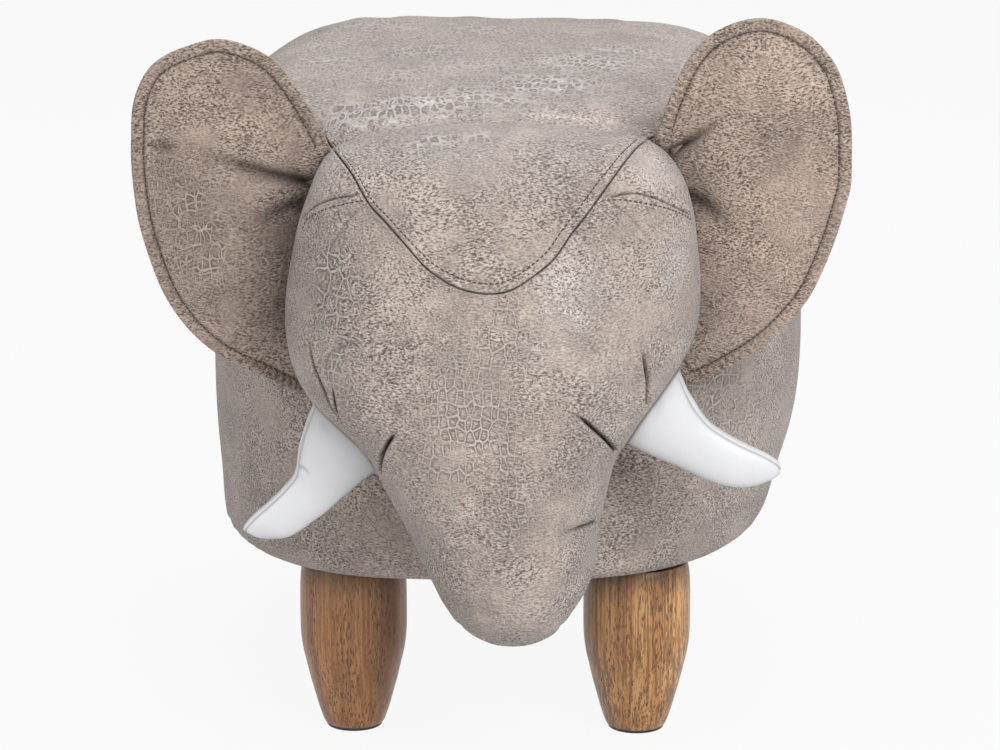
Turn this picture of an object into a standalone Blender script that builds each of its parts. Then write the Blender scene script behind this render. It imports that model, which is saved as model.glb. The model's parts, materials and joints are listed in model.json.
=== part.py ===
"""Elephant-shaped footstool: an upholstered body on four turned legs.

Run it with Blender 4.5: blender --background --python part.py
Lengths are metres, +Z is up, and the elephant looks along -Y.
The origin is on the floor, under the middle of the whole stool.
"""
import math

import bmesh
import bpy
from mathutils import Vector

# Clearances between neighbouring pieces
GAP = 0.0003
SEAM_GAP = 0.0005
TRIM_GAP = 0.0005
SAME_POINT = 0.0000001

# Legs and their fittings
LEG_HEIGHT = 0.097
LEG_DIAMETER = 0.0615
LEG_INSET = 0.0454
LEG_TURN = math.radians(58.3)
GLIDE_THICKNESS = 0.003
GLIDE_DIAMETER = 0.0265
GLIDE_CHAMFER = 0.0008
BOLT_DIAMETER = 0.008
BOLT_IN_LEG = 0.032
BOLT_PAST_NUT = 0.004
NUT_BARREL_DIAMETER = 0.0105
NUT_BARREL_LENGTH = 0.009
NUT_FLANGE_DIAMETER = 0.022
NUT_FLANGE_THICKNESS = 0.0015

# Materials in sheet form
COVER_THICKNESS = 0.0015
DUST_COVER_THICKNESS = 0.0006
BOARD_THICKNESS = 0.012
WRAP_THICKNESS = 0.003

# Body
BODY_WIDTH = 0.354
BODY_LENGTH = 0.501
SEAT_HEIGHT = 0.372
BODY_SQUARENESS = 2.7
TOP_ROUND = 0.056
BOTTOM_ROUND = 0.018
SIDE_TUCK = 0.006
CROWN = 0.006
HEM_REACH = 0.042
DUST_COVER_INSET = 0.032
SIDE_FOAM_THICKNESS = 0.021

# Frame inside the body
BOX_SIDE_INSET = 0.065
BOX_END_INSET = 0.1025
CORNER_BLOCK = 0.032

# Head and trunk, as one stuffed pouch on the front of the body
HEAD_PROJECTION = 0.120
HEAD_EMBED = 0.050
HEAD_WIDTH = 0.226
HEAD_DROP = 0.005
HEAD_HEIGHT = 0.273
HEAD_ROUNDNESS = 2.25
TRUNK_LEAN = 0.013

# Ears
EAR_WIDTH = 0.1055
EAR_HEIGHT = 0.195
EAR_PAD_THICKNESS = 0.011
EAR_COVER_THICKNESS = 0.0012
EAR_CUP = 0.010
EAR_BASE_DROP = 0.154
LEFT_EAR_LIFT = 0.001
RIGHT_EAR_LIFT = 0.013

# Tusks
TUSK_LENGTH = 0.083
TUSK_ROOT_WIDTH = 0.053
TUSK_BEND = math.radians(44)
TUSK_FORWARD = 0.040
TUSK_SWEEP = 0.014
TUSK_COVER_THICKNESS = 0.001
LEFT_TUSK_DROP = math.radians(66)
RIGHT_TUSK_DROP = math.radians(50)
LEFT_TUSK_LOWER = 0.165
RIGHT_TUSK_LOWER = 0.144
LEFT_TUSK_REACH = 0.078
RIGHT_TUSK_REACH = 0.085

# Tail
TAIL_LENGTH = 0.095
TAIL_WIDTH = 0.014
TAIL_THICKNESS = 0.003
TASSEL_LENGTH = 0.052
TASSEL_WIDTH = 0.026
TASSEL_DEPTH = 0.018

# Heights and places that follow from the sizes above
FOOT_HEIGHT = GLIDE_THICKNESS + GAP
LEG_TOP = FOOT_HEIGHT + LEG_HEIGHT
DUST_COVER_BOTTOM = LEG_TOP + GAP
BODY_BOTTOM = DUST_COVER_BOTTOM + DUST_COVER_THICKNESS + GAP
BOARD_BOTTOM = BODY_BOTTOM + COVER_THICKNESS + GAP
BOARD_TOP = BOARD_BOTTOM + BOARD_THICKNESS
RIM_HEIGHT = SEAT_HEIGHT - CROWN
SEAM_HEIGHT = RIM_HEIGHT - TOP_ROUND
TOTAL_LENGTH = HEAD_PROJECTION + BODY_LENGTH + GAP + TASSEL_DEPTH
BODY_FRONT = HEAD_PROJECTION - TOTAL_LENGTH / 2
BODY_CENTRE = BODY_FRONT + BODY_LENGTH / 2
BODY_REAR = BODY_FRONT + BODY_LENGTH
HEAD_TOP = SEAT_HEIGHT - HEAD_DROP
HEAD_FRONT = BODY_FRONT - HEAD_PROJECTION
HEAD_DEPTH = HEAD_PROJECTION + HEAD_EMBED
FOAM_DEPTH = COVER_THICKNESS + GAP
WRAP_INSET = SIDE_TUCK + FOAM_DEPTH + SIDE_FOAM_THICKNESS
PLATE_INSET = WRAP_INSET + WRAP_THICKNESS + GAP

# Faces round each form, and steps along its rounded edges
BODY_SIDES = 36
HEAD_SIDES = 32
TUSK_SIDES = 12
LEG_SIDES = 20
HOLE_SIDES = 12
ROUND_STEPS = 3
SHARP_ANGLE = math.radians(40)

# Turned leg: share of its radius, share of its height
LEG_PROFILE_SHARES = [
    (0.50, 0.0), (0.555, 0.02), (0.79, 0.22), (0.94, 0.43),
    (1.0, 0.63), (0.985, 0.79), (0.94, 0.915), (0.88, 1.0)]

# Seat crown: share of the way out from the middle to the rim
CROWN_SHARES = [0.68, 0.36]

# Side wall: share of the height from the bottom round to the seam
WALL_SHARES = [0.3, 0.6]

# Head and trunk, one row for each level: share of the height, of the half width,
# then shares of the depth at the widest line, the front and the back, and of the lean
HEAD_RING_SHARES = [
    (0.975, 0.17, 0.240, 0.140, 0.330, 1.00),
    (0.948, 0.28, 0.250, 0.080, 0.390, 0.95),
    (0.900, 0.36, 0.275, 0.038, 0.450, 0.90),
    (0.835, 0.42, 0.305, 0.018, 0.520, 0.80),
    (0.765, 0.465, 0.335, 0.010, 0.590, 0.60),
    (0.700, 0.535, 0.375, 0.006, 0.660, 0.40),
    (0.655, 0.640, 0.420, 0.003, 0.760, 0.20),
    (0.610, 0.760, 0.465, 0.001, 0.850, 0.00),
    (0.560, 0.860, 0.495, 0.000, 0.930, -0.10),
    (0.500, 0.945, 0.520, 0.003, 0.980, -0.05),
    (0.415, 0.990, 0.545, 0.010, 1.000, 0.00),
    (0.330, 1.000, 0.560, 0.028, 1.000, 0.05),
    (0.240, 0.980, 0.570, 0.060, 1.000, 0.10),
    (0.160, 0.945, 0.575, 0.110, 0.990, 0.15),
    (0.100, 0.890, 0.575, 0.170, 0.960, 0.18),
    (0.055, 0.790, 0.575, 0.245, 0.900, 0.20),
    (0.022, 0.600, 0.575, 0.340, 0.800, 0.20)]
TRUNK_TIP_SHARES = (1.0, 0.245, 1.0)
HEAD_CROWN_SHARES = (0.0, 0.575, 0.2)

# Forehead seam: share of its half width, share of its depth
FOREHEAD_WIDTH = 0.172
FOREHEAD_DEPTH = 0.073
FOREHEAD_SHARES = [
    (0.0, 0.0), (0.14, 0.015), (0.27, 0.07), (0.40, 0.17),
    (0.53, 0.325), (0.66, 0.50), (0.82, 0.74), (1.0, 1.0)]

# Where the seat panel ends on the head's top: share of the depth, share of the height down
NAPE_SHARES = (0.63, 0.10)

# Brow seam: share of the half width of the head, share of its height from the top
BROW_SHARES = [(1.15, 0.174), (0.87, 0.146), (0.80, 0.127), (0.66, 0.109), (0.45, 0.104)]

# Side seam of head and trunk: share of the depth, share of the height from the top
THROAT_SHARES = [
    (1.1, 0.46), (0.71, 0.49), (0.58, 0.58), (0.42, 0.69),
    (0.31, 0.80), (0.25, 0.90), (0.20, 0.97), (0.20, 1.1), (1.1, 1.1)]

# Ear outline: share of the width out from the root, share of the height
EAR_OUTLINE_SHARES = [
    (-0.13, 0.40), (-0.10, 0.62), (0.0, 0.70), (0.07, 0.79), (0.155, 0.875), (0.265, 0.94),
    (0.39, 0.985), (0.54, 1.0), (0.69, 0.98), (0.82, 0.935), (0.915, 0.87), (0.97, 0.79),
    (1.0, 0.68), (0.985, 0.54), (0.93, 0.42), (0.845, 0.30), (0.735, 0.19), (0.575, 0.105),
    (0.375, 0.045), (0.16, 0.0), (0.0, 0.01), (-0.10, 0.16)]
EAR_CENTRE_SHARES = (0.48, 0.53)
EAR_ROOT_SHARE = 0.78
# Ear padding: share of the way out to the edge, share of the full thickness
EAR_RING_SHARES = [(0.86, 0.36), (0.64, 0.82), (0.33, 0.98)]
EAR_MARGIN_SHARE = 0.93

# Tusk: share of its length, share of its root width
TUSK_SHARES = [
    (-0.35, 1.02), (0.0, 1.0), (0.2, 0.76), (0.42, 0.60), (0.65, 0.52), (0.84, 0.40), (0.95, 0.24)]
TUSK_FLATNESS_SHARE = 0.72

# Tassel, from its binding down: share of the length, share of its width
TASSEL_SHARES = [(0.0, 0.50), (0.12, 0.58), (0.2, 0.50), (0.55, 0.86), (1.0, 1.0)]
TASSEL_FLATNESS_SHARE = TASSEL_DEPTH / TASSEL_WIDTH


def clear_scene():
    for existing in list(bpy.data.objects):
        bpy.data.objects.remove(existing, do_unlink=True)


def finish(name, colour, roughness, metallic=0.0):
    material = bpy.data.materials.new(name)
    material.use_nodes = True
    shader = material.node_tree.nodes["Principled BSDF"]
    shader.inputs["Base Color"].default_value = (*colour, 1.0)
    shader.inputs["Roughness"].default_value = roughness
    shader.inputs["Metallic"].default_value = metallic
    material.diffuse_color = (*colour, 1.0)
    return material


def place(name, bm, material=None):
    """Turn a bmesh into a named object, with its faces pointing out."""
    bmesh.ops.recalc_face_normals(bm, faces=bm.faces)
    mesh = bpy.data.meshes.new(name)
    bm.to_mesh(mesh)
    bm.free()
    mesh.shade_smooth()
    mesh.set_sharp_from_angle(angle=SHARP_ANGLE)
    piece = bpy.data.objects.new(name, mesh)
    bpy.context.scene.collection.objects.link(piece)
    if material:
        mesh.materials.append(material)
    return piece


def trim(piece, operation, cutter):
    """Cut a piece with another solid, which is used up."""
    modifier = piece.modifiers.new("Trim", "BOOLEAN")
    modifier.operation = operation
    modifier.solver = "EXACT"
    modifier.object = cutter
    graph = bpy.context.evaluated_depsgraph_get()
    old_mesh = piece.data
    piece.data = bpy.data.meshes.new_from_object(piece.evaluated_get(graph))
    piece.data.name = piece.name
    piece.modifiers.clear()
    bpy.data.meshes.remove(old_mesh)
    bpy.data.objects.remove(cutter, do_unlink=True)


def body_area(corners):
    return sum(face.calc_area() for face in {face for corner in corners for face in corner.link_faces})


def drop_offcuts(piece):
    """A trimmed piece keeps its largest body; what is cut off beside it goes."""
    bm = bmesh.new()
    bm.from_mesh(piece.data)
    bm.verts.index_update()
    left = set(bm.verts)
    bodies = []
    while left:
        body = set()
        front = [left.pop()]
        while front:
            corner = front.pop()
            body.add(corner)
            reached = {edge.other_vert(corner) for edge in corner.link_edges} & left
            left -= reached
            front.extend(reached)
        bodies.append(body)
    largest = max(bodies, key=body_area)
    offcuts = [corner for body in bodies if body is not largest for corner in body]
    bmesh.ops.delete(bm, geom=offcuts, context="VERTS")
    bmesh.ops.remove_doubles(bm, verts=bm.verts, dist=SAME_POINT)
    bm.to_mesh(piece.data)
    bm.free()


def skin_rings(bm, rings, closed):
    """Faces between neighbouring rings; closed joins the last ring to the first."""
    pairs = list(zip(rings, rings[1:]))
    if closed:
        pairs.append((rings[-1], rings[0]))
    for lower, upper in pairs:
        count = len(lower)
        for index in range(count):
            after = (index + 1) % count
            bm.faces.new((lower[index], lower[after], upper[after], upper[index]))


def cap_ring(bm, ring, middle):
    pole = bm.verts.new(middle)
    for index, corner in enumerate(ring):
        bm.faces.new((corner, ring[(index + 1) % len(ring)], pole))


def lofted(rings, first_pole, last_pole):
    """A closed form through rings of points, with a point at each end."""
    bm = bmesh.new()
    corners = [[bm.verts.new(point) for point in ring] for ring in rings]
    skin_rings(bm, corners, closed=False)
    cap_ring(bm, corners[0], first_pole)
    cap_ring(bm, corners[-1], last_pole)
    # Flat triangles, so that cutting the form again and again stays exact
    bmesh.ops.triangulate(bm, faces=bm.faces)
    return bm


def hollow_loft(rings):
    """A tube with a wall: the rings run up its outside and down its inside."""
    bm = bmesh.new()
    skin_rings(bm, [[bm.verts.new(point) for point in ring] for ring in rings], closed=True)
    return bm


def drawn_in(bm, depth):
    """Move a closed form's surface inwards, or outwards where depth is negative."""
    bmesh.ops.recalc_face_normals(bm, faces=bm.faces)
    bm.normal_update()
    moves = [corner.normal * depth for corner in bm.verts]
    for corner, move in zip(bm.verts, moves):
        corner.co -= move
    return bm


def walled_sheet(outer_rows, inner_rows):
    """A sheet with a thickness: two grids of points, joined round their border."""
    bm = bmesh.new()
    outer = [[bm.verts.new(point) for point in row] for row in outer_rows]
    inner = [[bm.verts.new(point) for point in row] for row in inner_rows]
    for grid in (outer, inner):
        for lower, upper in zip(grid, grid[1:]):
            for index in range(len(lower) - 1):
                bm.faces.new((lower[index], lower[index + 1], upper[index + 1], upper[index]))

    def border(grid):
        right_side = [row[-1] for row in grid[1:-1]]
        left_side = [row[0] for row in grid[-2:0:-1]]
        return grid[0] + right_side + grid[-1][::-1] + left_side

    skin_rings(bm, [border(outer), border(inner)], closed=False)
    return bm


def prism(outline, start, end, across):
    """An outline in the front view (across "Y") or the side view (across "X"), drawn out."""
    bm = bmesh.new()
    corners = []
    for first, second in outline:
        point = (first, start, second) if across == "Y" else (start, first, second)
        corners.append(bm.verts.new(point))
    face = bm.faces.new(corners)
    drawn = bmesh.ops.extrude_face_region(bm, geom=[face])
    moved = [item for item in drawn["geom"] if isinstance(item, bmesh.types.BMVert)]
    length = end - start
    shift = (0, length, 0) if across == "Y" else (length, 0, 0)
    bmesh.ops.translate(bm, verts=moved, vec=shift)
    return place("prism", bm)


def turned(profile, sides, centre):
    """A round piece: (radius, height) from one end of the axis to the other."""
    def ring(radius, height):
        angles = [math.tau * index / sides for index in range(sides)]
        return [
            (centre[0] + radius * math.cos(angle), centre[1] + radius * math.sin(angle), height)
            for angle in angles]

    rings = [ring(radius, height) for radius, height in profile]
    return lofted(rings, (*centre, profile[0][1]), (*centre, profile[-1][1]))


def turned_tube(profile, sides, centre):
    """A round piece with a hole through it: the profile closes on itself."""
    angles = [math.tau * index / sides for index in range(sides)]
    rings = [
        [(centre[0] + radius * math.cos(angle), centre[1] + radius * math.sin(angle), height)
         for angle in angles]
        for radius, height in profile]
    return hollow_loft(rings)


def block(name, low, high, material):
    bm = bmesh.new()
    bmesh.ops.create_cube(bm, size=1.0)
    for corner in bm.verts:
        for axis in range(3):
            corner.co[axis] = high[axis] if corner.co[axis] > 0 else low[axis]
    return place(name, bm, material)


def drill(piece, radius, low, high, centre):
    trim(piece, "DIFFERENCE", place("drill", turned([(radius, low), (radius, high)], HOLE_SIDES, centre)))


# Body
def oval_point(angle, inset, share=1.0):
    """A point of the body's plan outline, drawn in by inset or scaled to a share."""
    power = 2 / BODY_SQUARENESS
    across, along = math.cos(angle), math.sin(angle)
    x = (BODY_WIDTH / 2 - inset) * math.copysign(abs(across) ** power, across)
    y = (BODY_LENGTH / 2 - inset) * math.copysign(abs(along) ** power, along)
    return x * share, BODY_CENTRE + y * share


def body_stations():
    """The skin from hem to rim: inset, height, and the way in as (inset, height)."""
    stations = [(HEM_REACH, BODY_BOTTOM, (0, 1))]
    for step in range(ROUND_STEPS):
        turn = math.pi / 2 * step / (ROUND_STEPS - 1)
        inset = SIDE_TUCK + BOTTOM_ROUND * (1 - math.sin(turn))
        height = BODY_BOTTOM + BOTTOM_ROUND * (1 - math.cos(turn))
        stations.append((inset, height, (math.sin(turn), math.cos(turn))))
    wall_bottom = BODY_BOTTOM + BOTTOM_ROUND
    for share in WALL_SHARES:
        height = wall_bottom + (SEAM_HEIGHT - wall_bottom) * share
        stations.append((SIDE_TUCK * (1 - share) ** 2, height, (1, 0)))
    stations.append((0, SEAM_HEIGHT - SEAM_GAP / 2, (1, 0)))
    seam = len(stations)
    stations.append((0, SEAM_HEIGHT + SEAM_GAP / 2, (1, 0)))
    for step in range(1, ROUND_STEPS + 1):
        turn = math.pi / 2 * step / ROUND_STEPS
        inset = TOP_ROUND * (1 - math.cos(turn))
        height = SEAM_HEIGHT + TOP_ROUND * math.sin(turn)
        stations.append((inset, height, (math.cos(turn), -math.sin(turn))))
    return stations[:seam], stations[seam:]


def body_angles():
    return [-math.pi / 2 + math.tau * index / BODY_SIDES for index in range(BODY_SIDES)]


def body_ring(station, depth, angles):
    inset, height, way_in = station
    drawn_inset = inset + depth * way_in[0]
    drawn_height = height + depth * way_in[1]
    return [(*oval_point(angle, drawn_inset), drawn_height) for angle in angles]


def crown_rings(depth, angles):
    rings = []
    for share in CROWN_SHARES:
        height = RIM_HEIGHT + CROWN * (1 - share ** 2) - depth
        rings.append([(*oval_point(angle, TOP_ROUND, share), height) for angle in angles])
    return rings


def seat_middle(depth):
    return (0, BODY_CENTRE, SEAT_HEIGHT - depth)


def body_block(depth):
    """The whole body as one solid, its skin drawn in by depth."""
    lower, upper = body_stations()
    angles = body_angles()
    rings = [body_ring(station, depth, angles) for station in lower[1:] + upper]
    rings += crown_rings(depth, angles)
    return place("body block", lofted(rings, (0, BODY_CENTRE, rings[0][0][2]), seat_middle(depth)))


def make_side_panel(side, leather):
    """Half of the side cover, from its hem under the board up to the seat seam."""
    name = "left_side_panel" if side < 0 else "right_side_panel"
    half = BODY_SIDES // 2 + 1
    angles = [-math.pi / 2 + side * math.tau * index / BODY_SIDES for index in range(half)]
    lower, _ = body_stations()

    def rows(depth):
        grid = [body_ring(station, depth, angles) for station in lower]
        for row in grid:
            for end in (0, -1):
                row[end] = (side * SEAM_GAP / 2, *row[end][1:])
        return grid

    panel = place(name, walled_sheet(rows(0), rows(COVER_THICKNESS)), leather)
    for centre in leg_places().values():
        drill(panel, BOLT_DIAMETER / 2 + GAP, BODY_BOTTOM - GAP, BOARD_BOTTOM, centre)


def make_seat_skin(leather):
    _, upper = body_stations()
    angles = body_angles()
    outer = [body_ring(station, 0, angles) for station in upper] + crown_rings(0, angles)
    inner = [body_ring(station, COVER_THICKNESS, angles) for station in upper]
    inner += crown_rings(COVER_THICKNESS, angles)
    bm = lofted(outer[::-1] + inner, seat_middle(0), seat_middle(COVER_THICKNESS))
    return place("top_panel", bm, leather)


def make_seat_foam(foam):
    _, upper = body_stations()
    angles = body_angles()
    rings = [body_ring(station, FOAM_DEPTH, angles) for station in upper]
    rings += crown_rings(FOAM_DEPTH, angles)
    underside = (0, BODY_CENTRE, upper[0][1])
    return place("seat_foam", lofted(rings, underside, seat_middle(FOAM_DEPTH)), foam)


def make_side_foam(foam):
    lower, _ = body_stations()
    angles = body_angles()
    outer = [body_ring(station, FOAM_DEPTH, angles) for station in lower[1:]]
    bottom, top = outer[0][0][2], outer[-1][0][2]
    inner = [
        [(*oval_point(angle, WRAP_INSET), height) for angle in angles] for height in (top, bottom)]
    return place("side_foam", hollow_loft(outer + inner), foam)


def make_wrap_board(hardboard):
    """A thin sheet bent round the edges of the two plates."""
    angles = body_angles()
    top = SEAM_HEIGHT - SEAM_GAP / 2
    outer_inset = WRAP_INSET + GAP
    inner_inset = outer_inset + WRAP_THICKNESS
    corners = [
        (outer_inset, BOARD_BOTTOM), (outer_inset, top), (inner_inset, top),
        (inner_inset, BOARD_BOTTOM)]
    rings = [[(*oval_point(angle, inset), height) for angle in angles] for inset, height in corners]
    return place("wrap_board", hollow_loft(rings), hardboard)


def oval_plate(name, inset, bottom, top, material):
    angles = body_angles()
    rings = [[(*oval_point(angle, inset), height) for angle in angles] for height in (bottom, top)]
    return place(name, lofted(rings, (0, BODY_CENTRE, bottom), (0, BODY_CENTRE, top)), material)


def make_frame(plywood, pine):
    """Two oval plates with a four-board box and its glue blocks between them."""
    plate_inset = PLATE_INSET + GAP
    seat_plate_top = SEAM_HEIGHT - SEAM_GAP / 2
    seat_plate_bottom = seat_plate_top - BOARD_THICKNESS
    base = oval_plate("base_board", plate_inset, BOARD_BOTTOM, BOARD_TOP, plywood)
    oval_plate("seat_board", plate_inset, seat_plate_bottom, seat_plate_top, plywood)
    for centre in leg_places().values():
        radius = NUT_BARREL_DIAMETER / 2 + GAP
        drill(base, radius, BOARD_BOTTOM - GAP, BOARD_TOP + GAP, centre)

    low, high = BOARD_TOP + GAP, seat_plate_bottom - GAP
    half_width = BODY_WIDTH / 2 - BOX_SIDE_INSET
    half_length = BODY_LENGTH / 2 - BOX_END_INSET
    inner_width = half_width - BOARD_THICKNESS - GAP
    inner_length = half_length - BOARD_THICKNESS
    for name, side in (("left_side_board", -1), ("right_side_board", 1)):
        faces = sorted((side * half_width, side * (half_width - BOARD_THICKNESS)))
        block(
            name, (faces[0], BODY_CENTRE - half_length, low),
            (faces[1], BODY_CENTRE + half_length, high), plywood)
    for name, end in (("front_board", -1), ("rear_board", 1)):
        faces = sorted((BODY_CENTRE + end * half_length, BODY_CENTRE + end * inner_length))
        block(name, (-inner_width, faces[0], low), (inner_width, faces[1], high), plywood)
    for end_name, end in (("front", -1), ("rear", 1)):
        for side_name, side in (("left", -1), ("right", 1)):
            outer_x = side * inner_width
            inner_x = outer_x - side * CORNER_BLOCK
            outer_y = BODY_CENTRE + end * (inner_length - GAP)
            inner_y = outer_y - end * CORNER_BLOCK
            block(
                f"corner_block_{end_name}_{side_name}",
                (min(outer_x, inner_x), min(outer_y, inner_y), low),
                (max(outer_x, inner_x), max(outer_y, inner_y), high), pine)


def make_dust_cover(cloth):
    top = DUST_COVER_BOTTOM + DUST_COVER_THICKNESS
    cover = oval_plate("dust_cover", DUST_COVER_INSET, DUST_COVER_BOTTOM, top, cloth)
    for centre in leg_places().values():
        drill(cover, BOLT_DIAMETER / 2 + GAP, DUST_COVER_BOTTOM - GAP, top + GAP, centre)


# Legs
def leg_places():
    places = {}
    for end_name, end in (("front", -1), ("rear", 1)):
        for side_name, side in (("left", -1), ("right", 1)):
            x, y = oval_point(LEG_TURN, LEG_INSET)
            places[f"{end_name}_{side_name}"] = (side * x, BODY_CENTRE + end * (y - BODY_CENTRE))
    return places


def make_leg(corner, centre, oak):
    profile = [
        (LEG_DIAMETER / 2 * radius_share, FOOT_HEIGHT + LEG_HEIGHT * height_share)
        for radius_share, height_share in LEG_PROFILE_SHARES]
    hole = BOLT_DIAMETER / 2 + GAP
    profile += [(hole, LEG_TOP), (hole, LEG_TOP - BOLT_IN_LEG - GAP)]
    place(f"leg_{corner}", turned(profile, LEG_SIDES, centre), oak)


def make_leg_fittings(corner, centre, steel, plastic):
    radius = BOLT_DIAMETER / 2
    nut_top = BOARD_TOP + GAP + NUT_FLANGE_THICKNESS
    bolt = [(radius, LEG_TOP - BOLT_IN_LEG), (radius, nut_top + BOLT_PAST_NUT)]
    place(f"hanger_bolt_{corner}", turned(bolt, HOLE_SIDES, centre), steel)

    bore, barrel, flange = radius + GAP, NUT_BARREL_DIAMETER / 2, NUT_FLANGE_DIAMETER / 2
    seat = BOARD_TOP + GAP
    barrel_end = seat - NUT_BARREL_LENGTH
    nut = [
        (bore, barrel_end), (barrel, barrel_end), (barrel, seat), (flange, seat),
        (flange, nut_top), (bore, nut_top)]
    place(f"t_nut_{corner}", turned_tube(nut, HOLE_SIDES, centre), steel)

    rim = GLIDE_DIAMETER / 2
    glide = [(rim - GLIDE_CHAMFER, 0), (rim, GLIDE_CHAMFER), (rim, GLIDE_THICKNESS)]
    place(f"glide_{corner}", turned(glide, LEG_SIDES, centre), plastic)


# Head and trunk
def head_point(depth_share, height_share):
    return HEAD_FRONT + HEAD_DEPTH * depth_share, HEAD_TOP - HEAD_HEIGHT * height_share


def head_form(depth):
    """The stuffed head and trunk as one closed form, drawn in by depth."""
    power = 2 / HEAD_ROUNDNESS
    rings = []
    for drop, width, widest, front, back, lean in HEAD_RING_SHARES:
        centre_y, height = head_point(widest, drop)
        front_reach = HEAD_DEPTH * (widest - front)
        back_reach = HEAD_DEPTH * (back - widest)
        ring = []
        for index in range(HEAD_SIDES):
            angle = math.tau * index / HEAD_SIDES
            across, along = math.cos(angle), math.sin(angle)
            x = HEAD_WIDTH / 2 * width * math.copysign(abs(across) ** power, across)
            reach = back_reach if along > 0 else front_reach
            y = centre_y + reach * math.copysign(abs(along) ** power, along)
            ring.append((x + TRUNK_LEAN * lean, y, height))
        rings.append(ring)
    tip_drop, tip_depth, tip_lean = TRUNK_TIP_SHARES
    crown_drop, crown_depth, crown_lean = HEAD_CROWN_SHARES
    tip = (TRUNK_LEAN * tip_lean, *head_point(tip_depth, tip_drop))
    crown = (TRUNK_LEAN * crown_lean, *head_point(crown_depth, crown_drop))
    return drawn_in(lofted(rings, tip, crown), depth)


def forehead_region(grown):
    """Where the seat panel covers the head: its tongue, and all of the top behind the ears."""
    half_width, lowest = FOREHEAD_WIDTH / 2, HEAD_TOP - FOREHEAD_DEPTH - grown
    right = [(half_width * across, lowest + FOREHEAD_DEPTH * up) for across, up in FOREHEAD_SHARES]
    left = [(-x, z) for x, z in right[:0:-1]]
    above = HEAD_TOP + FOREHEAD_DEPTH
    outline = [(-half_width, above)] + left + right + [(half_width, above)]
    tongue = prism(outline, HEAD_FRONT - HEAD_EMBED, BODY_FRONT + HEAD_EMBED, "Y")

    ear_line, low = head_point(NAPE_SHARES[0], NAPE_SHARES[1])
    rear, high = BODY_FRONT + HEAD_PROJECTION, HEAD_TOP + HEAD_EMBED
    front, bottom = ear_line - grown, low - grown
    outline = [(front, bottom), (rear, bottom), (rear, high), (front, high)]
    trim(tongue, "UNION", prism(outline, -HEAD_WIDTH, HEAD_WIDTH, "X"))
    return tongue


def brow_prism(side, lowered):
    line = [
        (side * HEAD_WIDTH / 2 * across, HEAD_TOP - HEAD_HEIGHT * drop - lowered)
        for across, drop in BROW_SHARES]
    above = HEAD_TOP + FOREHEAD_DEPTH
    outline = line + [(line[-1][0], above), (line[0][0], above)]
    return prism(outline, HEAD_FRONT - HEAD_EMBED, BODY_FRONT + HEAD_EMBED, "Y")


def throat_prism(advanced):
    outline = [head_point(depth, drop) for depth, drop in THROAT_SHARES]
    outline = [(y - advanced, z) for y, z in outline]
    return prism(outline, -HEAD_WIDTH, HEAD_WIDTH, "X")


def head_panel(name, leather, kept, taken):
    """One panel of the head's cover: cut from the solid form first, then hollowed."""
    panel = place(name, head_form(0), leather)
    for cutter in kept:
        trim(panel, "INTERSECT", cutter)
    for cutter in taken:
        trim(panel, "DIFFERENCE", cutter)
    trim(panel, "DIFFERENCE", place("inside", head_form(COVER_THICKNESS)))
    drop_offcuts(panel)
    return panel


def make_head_panels(seat_skin, leather):
    # The seat's skin and the forehead are one piece of leather
    within_seat = body_block(COVER_THICKNESS / 2)
    trim(seat_skin, "UNION", head_panel("forehead", leather, [forehead_region(0)], [within_seat]))
    drop_offcuts(seat_skin)

    for name, side in (("left_temple_panel", -1), ("right_temple_panel", 1)):
        taken = [forehead_region(SEAM_GAP), body_block(-TRIM_GAP)]
        head_panel(name, leather, [brow_prism(side, 0)], taken)
    head_panel("throat_panel", leather, [throat_prism(0)], [body_block(-TRIM_GAP)])

    taken = [
        forehead_region(SEAM_GAP), brow_prism(-1, SEAM_GAP), brow_prism(1, SEAM_GAP),
        throat_prism(SEAM_GAP), body_block(-TRIM_GAP)]
    head_panel("face_panel", leather, [], taken)


def make_head_filling(stuffing):
    filling = place("head_filling", head_form(COVER_THICKNESS + GAP), stuffing)
    trim(filling, "DIFFERENCE", body_block(-TRIM_GAP))
    drop_offcuts(filling)


def cut_to_head(piece):
    """Ears and tusks end where they are sewn to the head."""
    trim(piece, "DIFFERENCE", place("head", head_form(-TRIM_GAP)))
    drop_offcuts(piece)


# Ears
def ear_point(side, lift, share, outline_share):
    """A point of the ear's middle surface, share of the way out from its centre."""
    across = EAR_CENTRE_SHARES[0] + share * (outline_share[0] - EAR_CENTRE_SHARES[0])
    up = EAR_CENTRE_SHARES[1] + share * (outline_share[1] - EAR_CENTRE_SHARES[1])
    x = HEAD_WIDTH / 2 * EAR_ROOT_SHARE + EAR_WIDTH * across
    y = BODY_FRONT - EAR_CUP * across ** 2
    z = HEAD_TOP - EAR_BASE_DROP + lift + EAR_HEIGHT * up
    return Vector((side * x, y, z))


def ear_layers(side, lift, facing, outer_shift, inner_shift):
    """Rings of one ear layer: out over one surface and back over the other."""
    seam_half = EAR_COVER_THICKNESS + GAP / 2
    swell = EAR_PAD_THICKNESS / 2
    rows = [(1.0, seam_half), (EAR_MARGIN_SHARE, seam_half)]
    rows += [(share, seam_half + swell * bulge) for share, bulge in EAR_RING_SHARES]

    def ring(share, half, shift):
        offset = Vector((0, facing * (half - shift), 0))
        return [ear_point(side, lift, share, outline) + offset for outline in EAR_OUTLINE_SHARES]

    outer = [ring(share, half, outer_shift) for share, half in rows]
    inner = [ring(share, half, inner_shift) for share, half in rows]
    middle = ear_point(side, lift, 0, EAR_CENTRE_SHARES)
    full = seam_half + swell
    outer_middle = middle + Vector((0, facing * (full - outer_shift), 0))
    inner_middle = middle + Vector((0, facing * (full - inner_shift), 0))
    return lofted(outer[::-1] + inner, outer_middle, inner_middle)


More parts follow.
